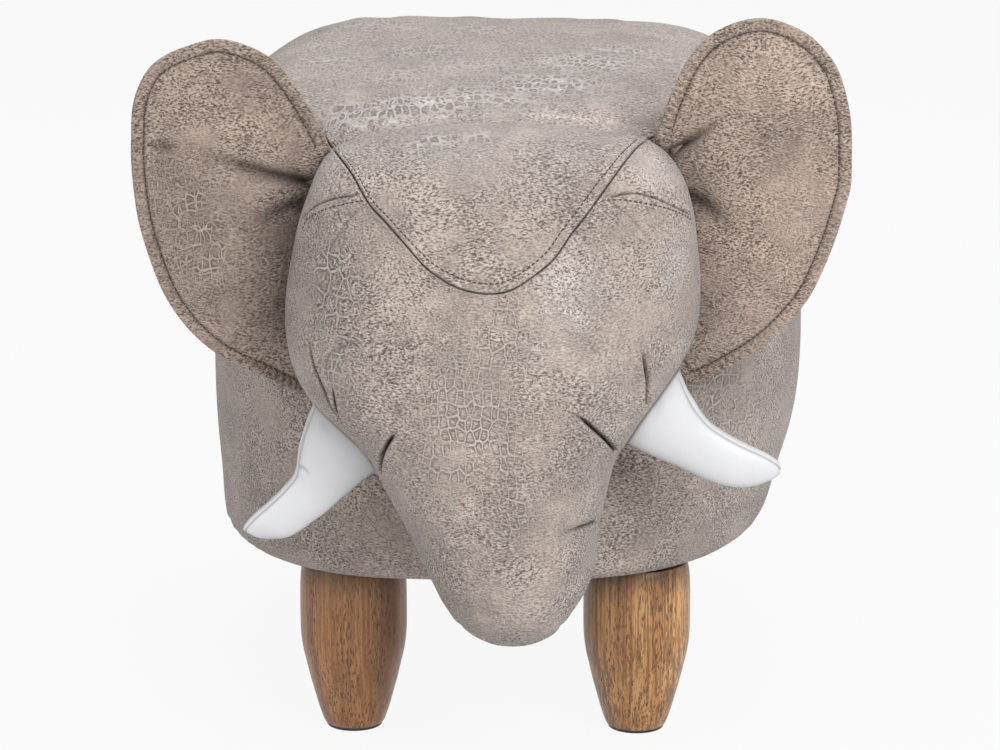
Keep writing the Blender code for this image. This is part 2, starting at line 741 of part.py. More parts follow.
def ear_padding(side, lift):
    seam_half = EAR_COVER_THICKNESS + GAP / 2
    inside = EAR_COVER_THICKNESS + GAP
    rows = [
        (share, seam_half + EAR_PAD_THICKNESS / 2 * bulge - inside)
        for share, bulge in EAR_RING_SHARES]
    middle = ear_point(side, lift, 0, EAR_CENTRE_SHARES)
    full = seam_half + EAR_PAD_THICKNESS / 2 - inside
    rings = []
    for facing, order in ((-1, rows[::-1]), (1, rows)):
        for share, half in order:
            offset = Vector((0, facing * half, 0))
            rings.append(
                [ear_point(side, lift, share, outline) + offset for outline in EAR_OUTLINE_SHARES])
    front_middle = middle - Vector((0, full, 0))
    rear_middle = middle + Vector((0, full, 0))
    return lofted(rings, front_middle, rear_middle)


def make_ear(side_name, side, lift, leather, stuffing):
    for face_name, facing in (("front", -1), ("back", 1)):
        layer = ear_layers(side, lift, facing, 0, EAR_COVER_THICKNESS)
        cut_to_head(place(f"{side_name}_ear_{face_name}", layer, leather))
    cut_to_head(place(f"{side_name}_ear_padding", ear_padding(side, lift), stuffing))


# Tusks
def tusk_form(side, drop, lower, reach, depth):
    radius_of_bend = TUSK_LENGTH / TUSK_BEND

    def frame(share):
        angle = drop - TUSK_BEND * share
        x = reach + radius_of_bend * (math.sin(drop) - math.sin(angle))
        y = BODY_FRONT - TUSK_FORWARD - TUSK_SWEEP * share
        z = HEAD_TOP - lower - radius_of_bend * (math.cos(angle) - math.cos(drop))
        return Vector((side * x, y, z)), Vector((side * math.sin(angle), 0, math.cos(angle)))

    rings = []
    for share, width_share in TUSK_SHARES:
        centre, outward = frame(share)
        radius = TUSK_ROOT_WIDTH / 2 * width_share
        flat = Vector((0, radius * TUSK_FLATNESS_SHARE, 0))
        angles = [math.tau * index / TUSK_SIDES for index in range(TUSK_SIDES)]
        rings.append([
            centre + outward * radius * math.cos(angle) + flat * math.sin(angle)
            for angle in angles])
    root = frame(TUSK_SHARES[0][0])[0]
    tip = frame(1.0)[0]
    return drawn_in(lofted(rings, root, tip), depth)


def make_tusk(side_name, posture, white_leather, stuffing):
    cover = place(f"{side_name}_tusk_cover", tusk_form(*posture, 0), white_leather)
    trim(cover, "DIFFERENCE", place("inside", tusk_form(*posture, TUSK_COVER_THICKNESS)))
    cut_to_head(cover)
    inside = TUSK_COVER_THICKNESS + GAP
    filling = place(f"{side_name}_tusk_filling", tusk_form(*posture, inside), stuffing)
    cut_to_head(filling)


# Tail
def make_tail(leather):
    """A short strap down the rump, with a tassel at its end."""
    top = SEAM_HEIGHT - GAP
    bottom = top - TAIL_LENGTH
    near = BODY_REAR + GAP
    half = TAIL_WIDTH / 2
    block("tail_strap", (-half, near, bottom), (half, near + TAIL_THICKNESS, top), leather)

    rings = []
    for share, width_share in TASSEL_SHARES:
        radius = TASSEL_WIDTH / 2 * width_share
        depth = radius * TASSEL_FLATNESS_SHARE
        height = bottom - GAP - TASSEL_LENGTH * share
        angles = [math.tau * index / TUSK_SIDES for index in range(TUSK_SIDES)]
        rings.append([
            (radius * math.cos(angle), near + depth + depth * math.sin(angle), height)
            for angle in angles])
    bottom_depth = TASSEL_DEPTH / 2
    top_end = (0, rings[0][0][1], bottom - GAP)
    low_end = (0, near + bottom_depth, rings[-1][0][2])
    place("tail_tassel", lofted(rings, top_end, low_end), leather)


clear_scene()
leather = finish("distressed_leather", (0.40, 0.33, 0.28), 0.6)
white_leather = finish("white_leather", (0.80, 0.80, 0.81), 0.5)
oak = finish("turned_wood", (0.30, 0.16, 0.08), 0.45)
plywood = finish("plywood", (0.62, 0.46, 0.28), 0.7)
pine = finish("pine", (0.70, 0.52, 0.32), 0.7)
hardboard = finish("hardboard", (0.30, 0.20, 0.12), 0.8)
foam = finish("foam", (0.80, 0.76, 0.60), 0.9)
stuffing = finish("stuffing", (0.85, 0.85, 0.82), 0.95)
cloth = finish("dust_cloth", (0.02, 0.02, 0.02), 0.9)
steel = finish("zinc_steel", (0.55, 0.55, 0.56), 0.35, 1.0)
plastic = finish("glide_plastic", (0.03, 0.025, 0.02), 0.5)

make_frame(plywood, pine)
make_wrap_board(hardboard)
make_side_foam(foam)
make_seat_foam(foam)
make_dust_cover(cloth)
for body_side in (-1, 1):
    make_side_panel(body_side, leather)
make_head_panels(make_seat_skin(leather), leather)
make_head_filling(stuffing)
make_ear("left", -1, LEFT_EAR_LIFT, leather, stuffing)
make_ear("right", 1, RIGHT_EAR_LIFT, leather, stuffing)
left_posture = (-1, LEFT_TUSK_DROP, LEFT_TUSK_LOWER, LEFT_TUSK_REACH)
right_posture = (1, RIGHT_TUSK_DROP, RIGHT_TUSK_LOWER, RIGHT_TUSK_REACH)
make_tusk("left", left_posture, white_leather, stuffing)
make_tusk("right", right_posture, white_leather, stuffing)
make_tail(leather)
for leg_corner, leg_centre in leg_places().items():
    make_leg(leg_corner, leg_centre, oak)
    make_leg_fittings(leg_corner, leg_centre, steel, plastic)
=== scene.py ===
# %% [markdown]
# # An elephant-shaped footstool
#
# The stool is a padded oval body on four turned legs. A stuffed head with a trunk is sewn on its front,
# and two ears, two white tusks and a tail are sewn into its seams. The engineering model gives every
# piece its place and size. This notebook dresses it: it shapes the leather, sews the seams, turns the
# legs and mixes the finishes. All lengths are metres, and the elephant looks along -Y.

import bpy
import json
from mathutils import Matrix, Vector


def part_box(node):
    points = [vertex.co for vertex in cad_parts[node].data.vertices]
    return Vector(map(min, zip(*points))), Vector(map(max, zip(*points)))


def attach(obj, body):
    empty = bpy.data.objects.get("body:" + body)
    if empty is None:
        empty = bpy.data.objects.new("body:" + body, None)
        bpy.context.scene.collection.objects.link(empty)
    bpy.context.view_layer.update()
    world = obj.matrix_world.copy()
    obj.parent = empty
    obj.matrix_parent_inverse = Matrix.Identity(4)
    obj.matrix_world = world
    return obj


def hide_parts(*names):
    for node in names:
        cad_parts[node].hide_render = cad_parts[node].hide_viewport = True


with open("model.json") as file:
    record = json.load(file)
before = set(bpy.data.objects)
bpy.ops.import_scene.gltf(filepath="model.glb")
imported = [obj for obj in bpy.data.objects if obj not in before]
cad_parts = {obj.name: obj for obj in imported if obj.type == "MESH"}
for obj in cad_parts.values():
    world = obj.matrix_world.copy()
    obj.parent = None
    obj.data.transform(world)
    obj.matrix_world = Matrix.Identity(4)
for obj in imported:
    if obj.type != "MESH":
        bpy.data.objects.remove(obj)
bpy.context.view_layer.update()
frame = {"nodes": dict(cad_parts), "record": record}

# %% Tools used all through
import json
import math

import bmesh
import bpy
import numpy as np
from mathutils import Matrix, Vector
from mathutils.bvhtree import BVHTree
from mathutils.kdtree import KDTree

MM = 0.001
BODY = "root"


def add_object(name, data, material=None):
    piece = bpy.data.objects.new(name, data)
    bpy.context.scene.collection.objects.link(piece)
    if material:
        data.materials.append(material)
    return piece


def dress(piece, nodes=()):
    """Attach a piece to the body and hide the solids that it stands for."""
    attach(piece, BODY)
    if nodes:
        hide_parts(*nodes)


# %% [markdown]
# ## The camera
#
# The photograph is a front view from a little above. A long lens far away gives its weak perspective.
# The camera comes first because the seams are placed by where they lie in the photograph: a ray from
# the camera through a point of the picture meets the leather in one place.

# %% Camera at the photograph's angle
photo_width, photo_height = 1000, 750
camera_azimuth = math.radians(1.5)
camera_elevation = math.radians(13)
camera_distance = 2.2
camera_target = Vector((-0.0016, 0.0390, 0.1692))
lens_mm, sensor_mm = 128.27, 36

view_forward = Vector((
    -math.sin(camera_azimuth) * math.cos(camera_elevation),
    math.cos(camera_azimuth) * math.cos(camera_elevation),
    -math.sin(camera_elevation)))
view_right = Vector((math.cos(camera_azimuth), math.sin(camera_azimuth), 0))
view_up = view_right.cross(view_forward)
camera_place = camera_target - view_forward * camera_distance

camera_data = bpy.data.cameras.new("photo_camera")
camera_data.lens = lens_mm
camera_data.sensor_width = sensor_mm
camera = add_object("photo_camera", camera_data)
turn = Matrix((view_right, view_up, -view_forward)).transposed().to_4x4()
camera.matrix_world = Matrix.Translation(camera_place) @ turn
bpy.context.scene.camera = camera
print("Camera at", [round(value, 3) for value in camera_place])

# %% From a point of the picture to a point in space
focal_pixels = lens_mm / sensor_mm * photo_width


def ray_through(pixel):
    across = pixel[0] - photo_width / 2
    down = pixel[1] - photo_height / 2
    return (view_forward * focal_pixels + view_right * across - view_up * down).normalized()


def photo_to_plane(pixel, depth):
    """The point at y = depth that the picture shows at a pixel."""
    direction = ray_through(pixel)
    return camera_place + direction * ((depth - camera_place.y) / direction.y)


def photo_to_surface(pixels, tree):
    """The points of a surface that the picture shows along a line of pixels."""
    hits = [tree.ray_cast(camera_place, ray_through(pixel))[0] for pixel in pixels]
    return np.array([hit for hit in hits if hit is not None])


# %% [markdown]
# ## Curves and meshes
#
# Most outlines here are a few measured points with a smooth curve through them. A Catmull-Rom spline
# passes through every point and needs no handles, so it suits measured shapes. Arrays of points become
# meshes in one call, which keeps thousands of vertices quick to make.

# %% Smooth curves through points
def spline(points, steps, closed=False):
    """Catmull-Rom through points of any dimension, with that many steps between two points."""
    points = np.array(points, dtype=float)
    if closed:
        padded = np.vstack([points[-1], points, points[:2]])
    else:
        padded = np.vstack([2 * points[0] - points[1], points, 2 * points[-1] - points[-2]])
    share = (np.arange(steps) / steps)[:, None]
    spans = []
    for first, second, third, fourth in zip(padded, padded[1:], padded[2:], padded[3:]):
        spans.append(0.5 * (
            2 * second + (third - first) * share
            + (2 * first - 5 * second + 4 * third - fourth) * share ** 2
            + (3 * second - first - 3 * third + fourth) * share ** 3))
    curve = np.vstack(spans)
    return curve if closed else np.vstack([curve, points[-1]])


def even_steps(path, spacing):
    """The same path with its points an equal distance apart."""
    path = np.array(path, dtype=float)
    lengths = np.concatenate([[0], np.cumsum(np.linalg.norm(np.diff(path, axis=0), axis=1))])
    count = max(2, int(round(lengths[-1] / spacing)) + 1)
    wanted = np.linspace(0, lengths[-1], count)
    return np.stack([np.interp(wanted, lengths, column) for column in path.T], axis=1)


# %% Small formulas
def smoothstep(value, low, high):
    share = np.clip((value - low) / (high - low), 0, 1)
    return share * share * (3 - 2 * share)


def bell(distance, reach):
    return np.exp(-(distance / reach) ** 2)


def unit_rows(rows):
    return rows / np.linalg.norm(rows, axis=1)[:, None]


def full_turn(count):
    return np.arange(count) / count * math.tau


def powered(values, power):
    """Sines or cosines raised to a power that keeps their sign, which squares a circle off."""
    return np.sign(values) * np.abs(values) ** power


def oval(count, squareness):
    """A superellipse of unit size, as values across and along."""
    angles, power = full_turn(count), 2 / squareness
    return powered(np.cos(angles), power), powered(np.sin(angles), power)


# %% Meshes from rings of points
def mesh_from(name, points, faces):
    mesh = bpy.data.meshes.new(name)
    mesh.from_pydata([tuple(point) for point in points], [], faces)
    mesh.validate()
    mesh.shade_smooth()
    return mesh


def loft(name, rings, material=None):
    """A closed form through rings of points; the first and last ring close to their middles."""
    rings = np.array(rings)
    levels, around, _ = rings.shape
    points = [*rings.reshape(-1, 3), rings[0].mean(axis=0), rings[-1].mean(axis=0)]
    low_pole, high_pole = levels * around, levels * around + 1
    pairs = [(index, (index + 1) % around) for index in range(around)]
    faces = []
    for here in range(0, low_pole - around, around):
        there = here + around
        faces += [(here + index, here + after, there + after, there + index) for index, after in pairs]
    top = low_pole - around
    for index, after in pairs:
        faces += [(low_pole, after, index), (high_pole, top + index, top + after)]
    piece = add_object(name, mesh_from(name, points, faces), material)
    face_outwards(piece)
    return piece


def face_outwards(piece):
    bm = bmesh.new()
    bm.from_mesh(piece.data)
    bmesh.ops.recalc_face_normals(bm, faces=bm.faces)
    if bm.calc_volume(signed=True) < 0:
        bmesh.ops.reverse_faces(bm, faces=bm.faces)
    bm.to_mesh(piece.data)
    bm.free()


# %% Mesh data as arrays
def read_rows(items, key, width, kind=float):
    flat = np.empty(len(items) * width, dtype=kind)
    items.foreach_get(key, flat)
    return flat.reshape(-1, width)


def corner_array(piece):
    return read_rows(piece.data.vertices, "co", 3)


def normal_array(piece):
    return read_rows(piece.data.vertex_normals, "vector", 3)


def set_corners(piece, points):
    piece.data.vertices.foreach_set("co", points.ravel())
    piece.data.update()


def apply_modifiers(piece):
    graph = bpy.context.evaluated_depsgraph_get()
    old_mesh = piece.data
    piece.data = bpy.data.meshes.new_from_object(piece.evaluated_get(graph))
    piece.data.name = piece.name
    piece.modifiers.clear()
    bpy.data.meshes.remove(old_mesh)


def surface_tree(piece):
    return BVHTree.FromObject(piece, bpy.context.evaluated_depsgraph_get())


def paint(piece, **values):
    """A number for each vertex, or one for all of them, which a material reads by name."""
    for name, numbers in values.items():
        layer = piece.data.attributes.new(name, "FLOAT", "POINT")
        layer.data.foreach_set("value", np.full(len(layer.data), numbers, dtype=float))


# %% [markdown]
# ## Finishes
#
# Each finish is a node tree made by a function. Colours are written as they would be picked from a
# screen, and turned into the linear values that a shader works with. Patterns read Object coordinates,
# so their sizes are real: a scale of 1000 on a noise gives grains about a millimetre across.

# %% Shader helpers
def screen_colour(red, green, blue):
    """Linear RGBA from 0 to 255 screen values."""
    shares = [value / 255 for value in (red, green, blue)]
    linear = [share / 12.92 if share <= 0.04045 else ((share + 0.055) / 1.055) ** 2.4 for share in shares]
    return (*linear, 1.0)


def tinted(colour, factor):
    return (*(channel * factor for channel in colour[:3]), 1.0)


def connect(tree, value, socket):
    """Link a socket's value, or set a plain one."""
    if isinstance(value, bpy.types.NodeSocket):
        tree.links.new(value, socket)
    else:
        socket.default_value = value


def add_node(tree, kind, inputs=None, **settings):
    """A node with its settings, its inputs either values or sockets to link."""
    node = tree.nodes.new(kind)
    for name, value in settings.items():
        setattr(node, name, value)
    for key, value in (inputs or {}).items():
        connect(tree, value, node.inputs[key])
    return node


def combine(tree, operation, first, second):
    return add_node(tree, "ShaderNodeMath", {0: first, 1: second}, operation=operation).outputs[0]


def times(tree, first, second):
    return combine(tree, "MULTIPLY", first, second)


def larger(tree, first, second):
    return combine(tree, "MAXIMUM", first, second)


def vector_step(tree, operation, inputs):
    return add_node(tree, "ShaderNodeVectorMath", inputs, operation=operation).outputs[0]


def mapped(tree, vector, **changes):
    """Coordinates with a Scale, a Rotation or a Location of their own."""
    return add_node(tree, "ShaderNodeMapping", {"Vector": vector, **changes}).outputs[0]


def noise(tree, vector, scale, detail=4.0, roughness=0.6, output=0):
    inputs = {"Vector": vector, "Scale": scale, "Detail": detail, "Roughness": roughness}
    return add_node(tree, "ShaderNodeTexNoise", inputs).outputs[output]


def remap(tree, value, low, high, new_low=0.0, new_high=1.0):
    inputs = {"Value": value, "From Min": low, "From Max": high, "To Min": new_low, "To Max": new_high}
    return add_node(tree, "ShaderNodeMapRange", inputs, interpolation_type="SMOOTHSTEP").outputs[0]


def blend_colours(tree, share, first, second, blend_type="MIX"):
    inputs = {0: share, 6: first, 7: second}
    return add_node(tree, "ShaderNodeMix", inputs, data_type="RGBA", blend_type=blend_type).outputs[2]


def painted(tree, name):
    return add_node(tree, "ShaderNodeAttribute", attribute_name=name).outputs["Fac"]


def new_finish(name, **shader_values):
    """A material with its tree and Object coordinates; the values go on the shader's own sockets."""
    material = bpy.data.materials.new(name)
    material.use_nodes = True
    tree = material.node_tree
    for key, value in shader_values.items():
        tree.nodes["Principled BSDF"].inputs[key.replace("_", " ")].default_value = value
    return material, tree, add_node(tree, "ShaderNodeTexCoord").outputs["Object"]


def finish_with(tree, bumps, **shader_inputs):
    """Link the shader's inputs, and stack bump layers, each a height with its depth in metres."""
    shader = tree.nodes["Principled BSDF"]
    for key, socket in shader_inputs.items():
        tree.links.new(socket, shader.inputs[key.replace("_", " ")])
    normal = None
    for height, depth in bumps:
        inputs = {"Height": height, "Distance": depth, "Strength": 1.0}
        if normal:
            inputs["Normal"] = normal
        normal = add_node(tree, "ShaderNodeBump", inputs).outputs["Normal"]
    tree.links.new(normal, shader.inputs["Normal"])


# %% [markdown]
# ## Distressed leather
#
# The cover is a taupe faux leather with a brushed, nubuck-like face. Seen close, it has short dark
# strokes of grain in wavy rows, smoother worn places between them, and patches printed with plates like
# a crocodile's, with pale lines. A stretched noise draws the strokes. A Voronoi texture, read as the
# distance to its cell edges, draws the plates: small ones, large ones, and wide flat ones on the seat.
# The mesh carries painted values that the finish reads by name: "cracked" and "plated" say where the
# small and the large plates show, "veined" where the seat is wrinkled, one more value puts painted
# highlights on the grain as pale specks, "shade" paints shade and light that make a place darker or
# paler, and "seam" darkens the seam lines and paints shade into the valleys of seams and creases.

# %% Parts of the leather pattern
def moved_by(tree, place, pattern, distance):
    """Coordinates pushed about by a colour pattern, so that straight rows become wavy."""
    centred = vector_step(tree, "SUBTRACT", {0: pattern, 1: (0.5, 0.5, 0.5)})
    scaled = vector_step(tree, "SCALE", {0: centred, "Scale": distance})
    return vector_step(tree, "ADD", {0: place, 1: scaled})


def plates(tree, place, scale, line, share):
    """Pale lines between plates, and the dark shoulders beside the lines, where share lets them show."""
    inputs = {"Vector": place, "Scale": scale, "Randomness": 0.6}
    edges = add_node(
        tree, "ShaderNodeTexVoronoi", inputs, feature="DISTANCE_TO_EDGE", voronoi_dimensions="2D").outputs[0]
    lines = remap(tree, edges, line * 0.4, line * 1.3, 1.0, 0.0)
    shoulders = remap(tree, edges, line, line * 4, 1.0, 0.0)
    return times(tree, lines, share), times(tree, shoulders, share)


def loops(tree, place, scale):
    """Thin pale lines that run in long loops: the places where a noise crosses its middle value."""
    level = noise(tree, place, scale, 1.5, 0.5)
    gap = combine(tree, "ABSOLUTE", combine(tree, "SUBTRACT", level, 0.5), 0.0)
    return remap(tree, gap, 0.014, 0.050, 1.0, 0.0)


# %% Leather finish
leather_values = ("cracked", "plated", "veined", "dusted", "shade", "seam")
# Colour of the pale specks of painted highlight on the grain
glint_colour = screen_colour(240, 236, 238)
# Colour of the seam lines and of the painted shade in valleys and creases
seam_and_shade_colour = screen_colour(30, 20, 16)
sheen_tint = screen_colour(236, 232, 242)

# How far the noises push the rows of grain, the plates and the seat's plates about
grain_wave, plate_wobble, seat_wobble = 0.018, 0.0022, 0.003

# Cells of each pattern in a metre
wave_scale, cloud_scale, worn_scale, rub_scale, seat_rub_scale = 16.0, 22.0, 34.0, 90.0, 120.0
wobble_scale, stroke_scale, pebble_scale = 240.0, 980.0, 1150.0
small_plate_scale, large_plate_scale, seat_plate_scale, loop_scale = 215.0, 155.0, 200.0, 165.0


def leather_finish(name, base, pale, dark, grain_turn):
    material, tree, place = new_finish(
        name, Specular_IOR_Level=0.4, Sheen_Roughness=0.4, Sheen_Tint=sheen_tint)
    cracked, plated, veined, dusted, shade, seam = (painted(tree, value) for value in leather_values)
    bent = moved_by(tree, place, noise(tree, place, wave_scale, 2.0, output="Color"), grain_wave)
    rows = mapped(tree, bent, Rotation=(0.0, grain_turn, 0.0), Scale=(0.6, 0.85, 1.3))
    strokes = noise(tree, rows, stroke_scale, 2.0, 0.5)
    worn = remap(tree, noise(tree, place, worn_scale, 3.0, 0.62), 0.38, 0.54, 0.4, 1.0)
    grained = times(tree, worn, remap(tree, larger(tree, cracked, veined), 0.1, 0.9, 1.0, 0.5))
    dark_strokes = times(tree, remap(tree, strokes, 0.46, 0.66), grained)
    pale_strokes = times(tree, remap(tree, strokes, 0.50, 0.34), grained)

    wobble = noise(tree, place, wobble_scale, 1.0, output="Color")
    plate_place = mapped(
        tree, moved_by(tree, bent, wobble, plate_wobble), Rotation=(math.pi / 2, 0.0, 0.0),
        Scale=(1.0, 1.0, 0.66))
    seat_place = mapped(tree, moved_by(tree, bent, wobble, seat_wobble), Scale=(1.0, 0.36, 1.0))
    loop_place = mapped(tree, bent, Scale=(0.75, 0.3, 0.9))
    rubbed = remap(tree, noise(tree, place, rub_scale, 2.0), 0.36, 0.56)
    on_seat = times(tree, veined, remap(tree, noise(tree, place, seat_rub_scale, 2.0), 0.32, 0.46))
    small_lines, small_shoulders = plates(
        tree, plate_place, small_plate_scale, 0.095, times(tree, cracked, rubbed))
    large_lines, large_shoulders = plates(
        tree, plate_place, large_plate_scale, 0.064, times(tree, plated, rubbed))
    seat_lines, seat_shoulders = plates(tree, seat_place, seat_plate_scale, 0.15, on_seat)
    shoulders = larger(tree, larger(tree, small_shoulders, large_shoulders), seat_shoulders)
    lines = larger(tree, small_lines, large_lines)
    seat_loops = times(tree, loops(tree, loop_place, loop_scale), on_seat)
    wrinkles = larger(tree, seat_loops, times(tree, seat_lines, 0.85))
    # Painted highlight: pale specks of glint where the grain catches the light
    pebbles = remap(tree, noise(tree, place, pebble_scale, 1.0), 0.50, 0.58)
    glint_specks = times(tree, times(tree, pebbles, dusted), worn)

    clouds = noise(tree, mapped(tree, place, Scale=(1.0, 0.45, 1.0)), cloud_scale, 5.0, 0.68)
    colour = blend_colours(tree, remap(tree, clouds, 0.36, 0.64), tinted(base, 0.76), tinted(base, 1.17))
    whitish = (*(0.4 + channel * 0.6 for channel in pale[:3]), 1.0)
    for share, strength, over in (
            (dark_strokes, 0.88, dark), (pale_strokes, 0.8, pale), (shoulders, 0.8, dark),
            (lines, 0.86, pale), (wrinkles, 0.9, whitish), (glint_specks, 0.85, glint_colour)):
        colour = blend_colours(tree, times(tree, share, strength), colour, over)
    shaded = blend_colours(tree, 1.0, colour, shade, "MULTIPLY")
    # Seam lines and painted shade in valleys darken the colour
    finish_with(
        tree, [(combine(tree, "SUBTRACT", 1.0, strokes), 2.1 * MM)],
        Base_Color=blend_colours(tree, seam, shaded, seam_and_shade_colour),
        Roughness=remap(tree, strokes, 0.4, 0.6, 0.46, 0.62),
        Sheen_Weight=remap(tree, seam, 0.0, 0.7, 0.3, 0.0))
    return material


body_leather = leather_finish(
    "taupe_leather", screen_colour(194, 178, 167), screen_colour(230, 221, 214),
    screen_colour(88, 69, 56), 0.12)
ear_leather = leather_finish(
    "ear_leather", screen_colour(177, 157, 144), screen_colour(208, 192, 179),
    screen_colour(80, 61, 48), 1.1)
print("Leather finishes:", body_leather.name, ear_leather.name)

# %% [markdown]
# ## Tusk leather, wood, thread and the rest
#
# The tusks are a smooth white faux leather. The legs are open-grained wood under a brown satin stain:
# the pores are short dark dashes along the grain, so the noise that draws them is squeezed across the
# leg and stretched along it. The bands of the growth rings are a slower noise, stretched the same way.

# %% Tusk finish
def tusk_finish():
    material, tree, place = new_finish("tusk_leather", Roughness=0.42, Specular_IOR_Level=0.4)
    clouds = noise(tree, place, 40.0, 3.0)
    colour = blend_colours(tree, clouds, screen_colour(217, 218, 222), screen_colour(230, 230, 233))
    # The tusk's seam line, the painted shade in its folds and its painted shadow at the head darken it
    seam_and_crease_shade = blend_colours(tree, painted(tree, "seam"), colour, screen_colour(120, 112, 108))
    finish_with(tree, [(noise(tree, place, 900.0, 2.0), 0.05 * MM)], Base_Color=seam_and_crease_shade)
    return material


# %% Wood finish
# Cells of each pattern in a metre, before it is stretched along the leg
tone_scale, patch_scale, ring_scale, pore_scale = 75.0, 130.0, 620.0, 1150.0


def wood_finish(name, pale, middle, dark, stripes, shift):
    """Stripes says how strongly the growth rings show."""
    material, tree, place = new_finish(name, Roughness=0.4, Coat_Weight=0.2, Coat_Roughness=0.35)
    slow = mapped(tree, place, Location=shift, Scale=(1.0, 1.0, 0.05))
    ring_place = mapped(tree, place, Location=shift, Scale=(1.0, 0.35, 0.02))
    pore_place = mapped(tree, place, Location=shift, Scale=(1.0, 1.0, 0.16))
    tone = remap(tree, noise(tree, slow, tone_scale, 3.0, 0.6), 0.30, 0.66)
    rings = remap(tree, noise(tree, ring_place, ring_scale, 2.0, 0.5), 0.46, 0.58)
    pores = remap(tree, noise(tree, pore_place, pore_scale, 2.0), 0.51, 0.61)
    patches = remap(tree, noise(tree, slow, patch_scale, 2.0), 0.38, 0.54, 0.45, 1.0)
    pore_share = times(tree, pores, patches)
    colour = blend_colours(tree, tone, middle, pale)
    colour = blend_colours(tree, times(tree, rings, stripes), colour, dark)
    colour = blend_colours(tree, times(tree, pore_share, 0.75), colour, tinted(dark, 0.45))
    finish_with(
        tree, [(rings, 0.08 * MM), (combine(tree, "SUBTRACT", 1.0, pore_share), 0.12 * MM)],
        Base_Color=blend_colours(tree, 1.0, colour, painted(tree, "shade"), "MULTIPLY"))
    return material


# %% Plain finishes
def plain_finish(name, first, second, scale, roughness, bump_mm, metallic=0.0, stretch=(1.0, 1.0, 1.0)):
    """Two close screen colours in a noise, with a little relief."""
    material, tree, place = new_finish(name, Roughness=roughness, Metallic=metallic)
    pattern = noise(tree, mapped(tree, place, Scale=stretch), scale, 5.0)
    share = remap(tree, pattern, 0.35, 0.65)
    colour = blend_colours(tree, share, screen_colour(*first), screen_colour(*second))
    finish_with(tree, [(pattern, bump_mm * MM)], Base_Color=colour)
    return material


white_leather = tusk_finish()
thread = plain_finish("brown_thread", (66, 50, 42), (92, 72, 61), 2500.0, 0.7, 0.05)
slot_rows = {
    "plywood": ("plywood", (205, 178, 138), (178, 146, 104), 60.0, 0.7, 0.1, 0.0, (1.0, 0.1, 8.0)),
    "pine": ("pine", (222, 192, 148), (196, 158, 108), 90.0, 0.7, 0.1, 0.0, (1.0, 1.0, 0.08)),
    "hardboard": ("hardboard", (112, 84, 62), (132, 102, 78), 400.0, 0.8, 0.05),
    "foam": ("foam", (238, 228, 200), (226, 212, 180), 700.0, 0.9, 0.2),
    "stuffing": ("stuffing", (240, 240, 236), (226, 226, 222), 500.0, 0.95, 0.3),
    "dust_cloth": ("dust_cloth", (28, 28, 29), (40, 40, 41), 1400.0, 0.9, 0.08),
    "steel": ("zinc_steel", (188, 189, 192), (204, 205, 208), 300.0, 0.32, 0.02, 1.0),
    "glide_plastic": ("glide_plastic", (44, 36, 30), (54, 45, 38), 800.0, 0.5, 0.03),
}
slot_finishes = {slot: plain_finish(*row) for slot, row in slot_rows.items()}
for row in frame["record"]["subparts"]:
    if row["material_slot"] in slot_finishes:
        node_piece = frame["nodes"][row["node"]]
        node_piece.data.materials.clear()
        node_piece.data.materials.append(slot_finishes[row["material_slot"]])
print("Finishes so far:", len(bpy.data.materials))

# %% [markdown]
# ## The body's form
#
# The body is an oval drum: a superellipse in plan, upright sides, a small round at the bottom and a
# large one at the seat's edge, with a low crown on top. In the photograph its right flank bulges more
# than the left one and draws in more towards the floor, as hand-pulled covers do, so each side has its
# own half width at each height.

# %% Body sizes and rings
body_low, body_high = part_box("left_side_panel")
body_bottom, seam_height = body_low.z, body_high.z
seat_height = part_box("top_panel")[1].z
body_front = body_low.y
body_middle = (body_low.y + body_high.y) / 2
body_half_length = (body_high.y - body_low.y) / 2
crown = 6 * MM
top_round = seat_height - crown - seam_height
bottom_round = 20 * MM
left_bottom_share, right_bottom_share = 0.05, 0.7
left_bottom_sag = 2.0 * MM
body_squareness = 2.7
edge_fullness = 2.15

# Height, half width on the left and on the right
flank_rows = [
    (0.100, 0.1702, 0.1660), (0.113, 0.1698, 0.1664), (0.132, 0.1713, 0.1700), (0.154, 0.1732, 0.1776),
    (0.172, 0.1739, 0.1812), (0.190, 0.1740, 0.1826), (0.215, 0.1740, 0.1828), (0.250, 0.1742, 0.1808),
    (0.310, 0.1755, 0.1775), (0.380, 0.1760, 0.1770)]


def plan_ring(height, inset, share=1.0, around=220, left_share=1.0, right_share=1.0):
    """One level of the body: its plan outline drawn in by inset, or scaled to a share."""
    across, along = oval(around, body_squareness)
    heights, left_halves, right_halves = np.array(flank_rows).T
    left, right = np.interp(height, heights, left_halves), np.interp(height, heights, right_halves)
    half = np.where(across > 0, right - inset * right_share, left - inset * left_share)
    y = body_middle + (body_half_length - inset) * along * share
    return np.stack([half * across * share, y, np.full(around, height)], axis=1)


def edge_arc(steps):
    """A quarter of a slightly squared circle, as (in, up) shares."""
    turns = np.linspace(0, math.pi / 2, steps)
    power = 2 / edge_fullness
    return zip(1 - np.cos(turns) ** power, np.sin(turns) ** power)


def bottom_ring(height, inset, share=1.0):
    """The left of the bottom edge is drawn in less than the right, and hangs a little lower."""
    ring = plan_ring(height, inset, share, left_share=left_bottom_share, right_share=right_bottom_share)
    leftness = smoothstep(-ring[:, 0], 0.03, 0.11) if share == 1.0 else 0
    lowness = 1 - smoothstep(height, body_bottom, body_bottom + bottom_round)
    ring[:, 2] -= left_bottom_sag * leftness * lowness
    return ring


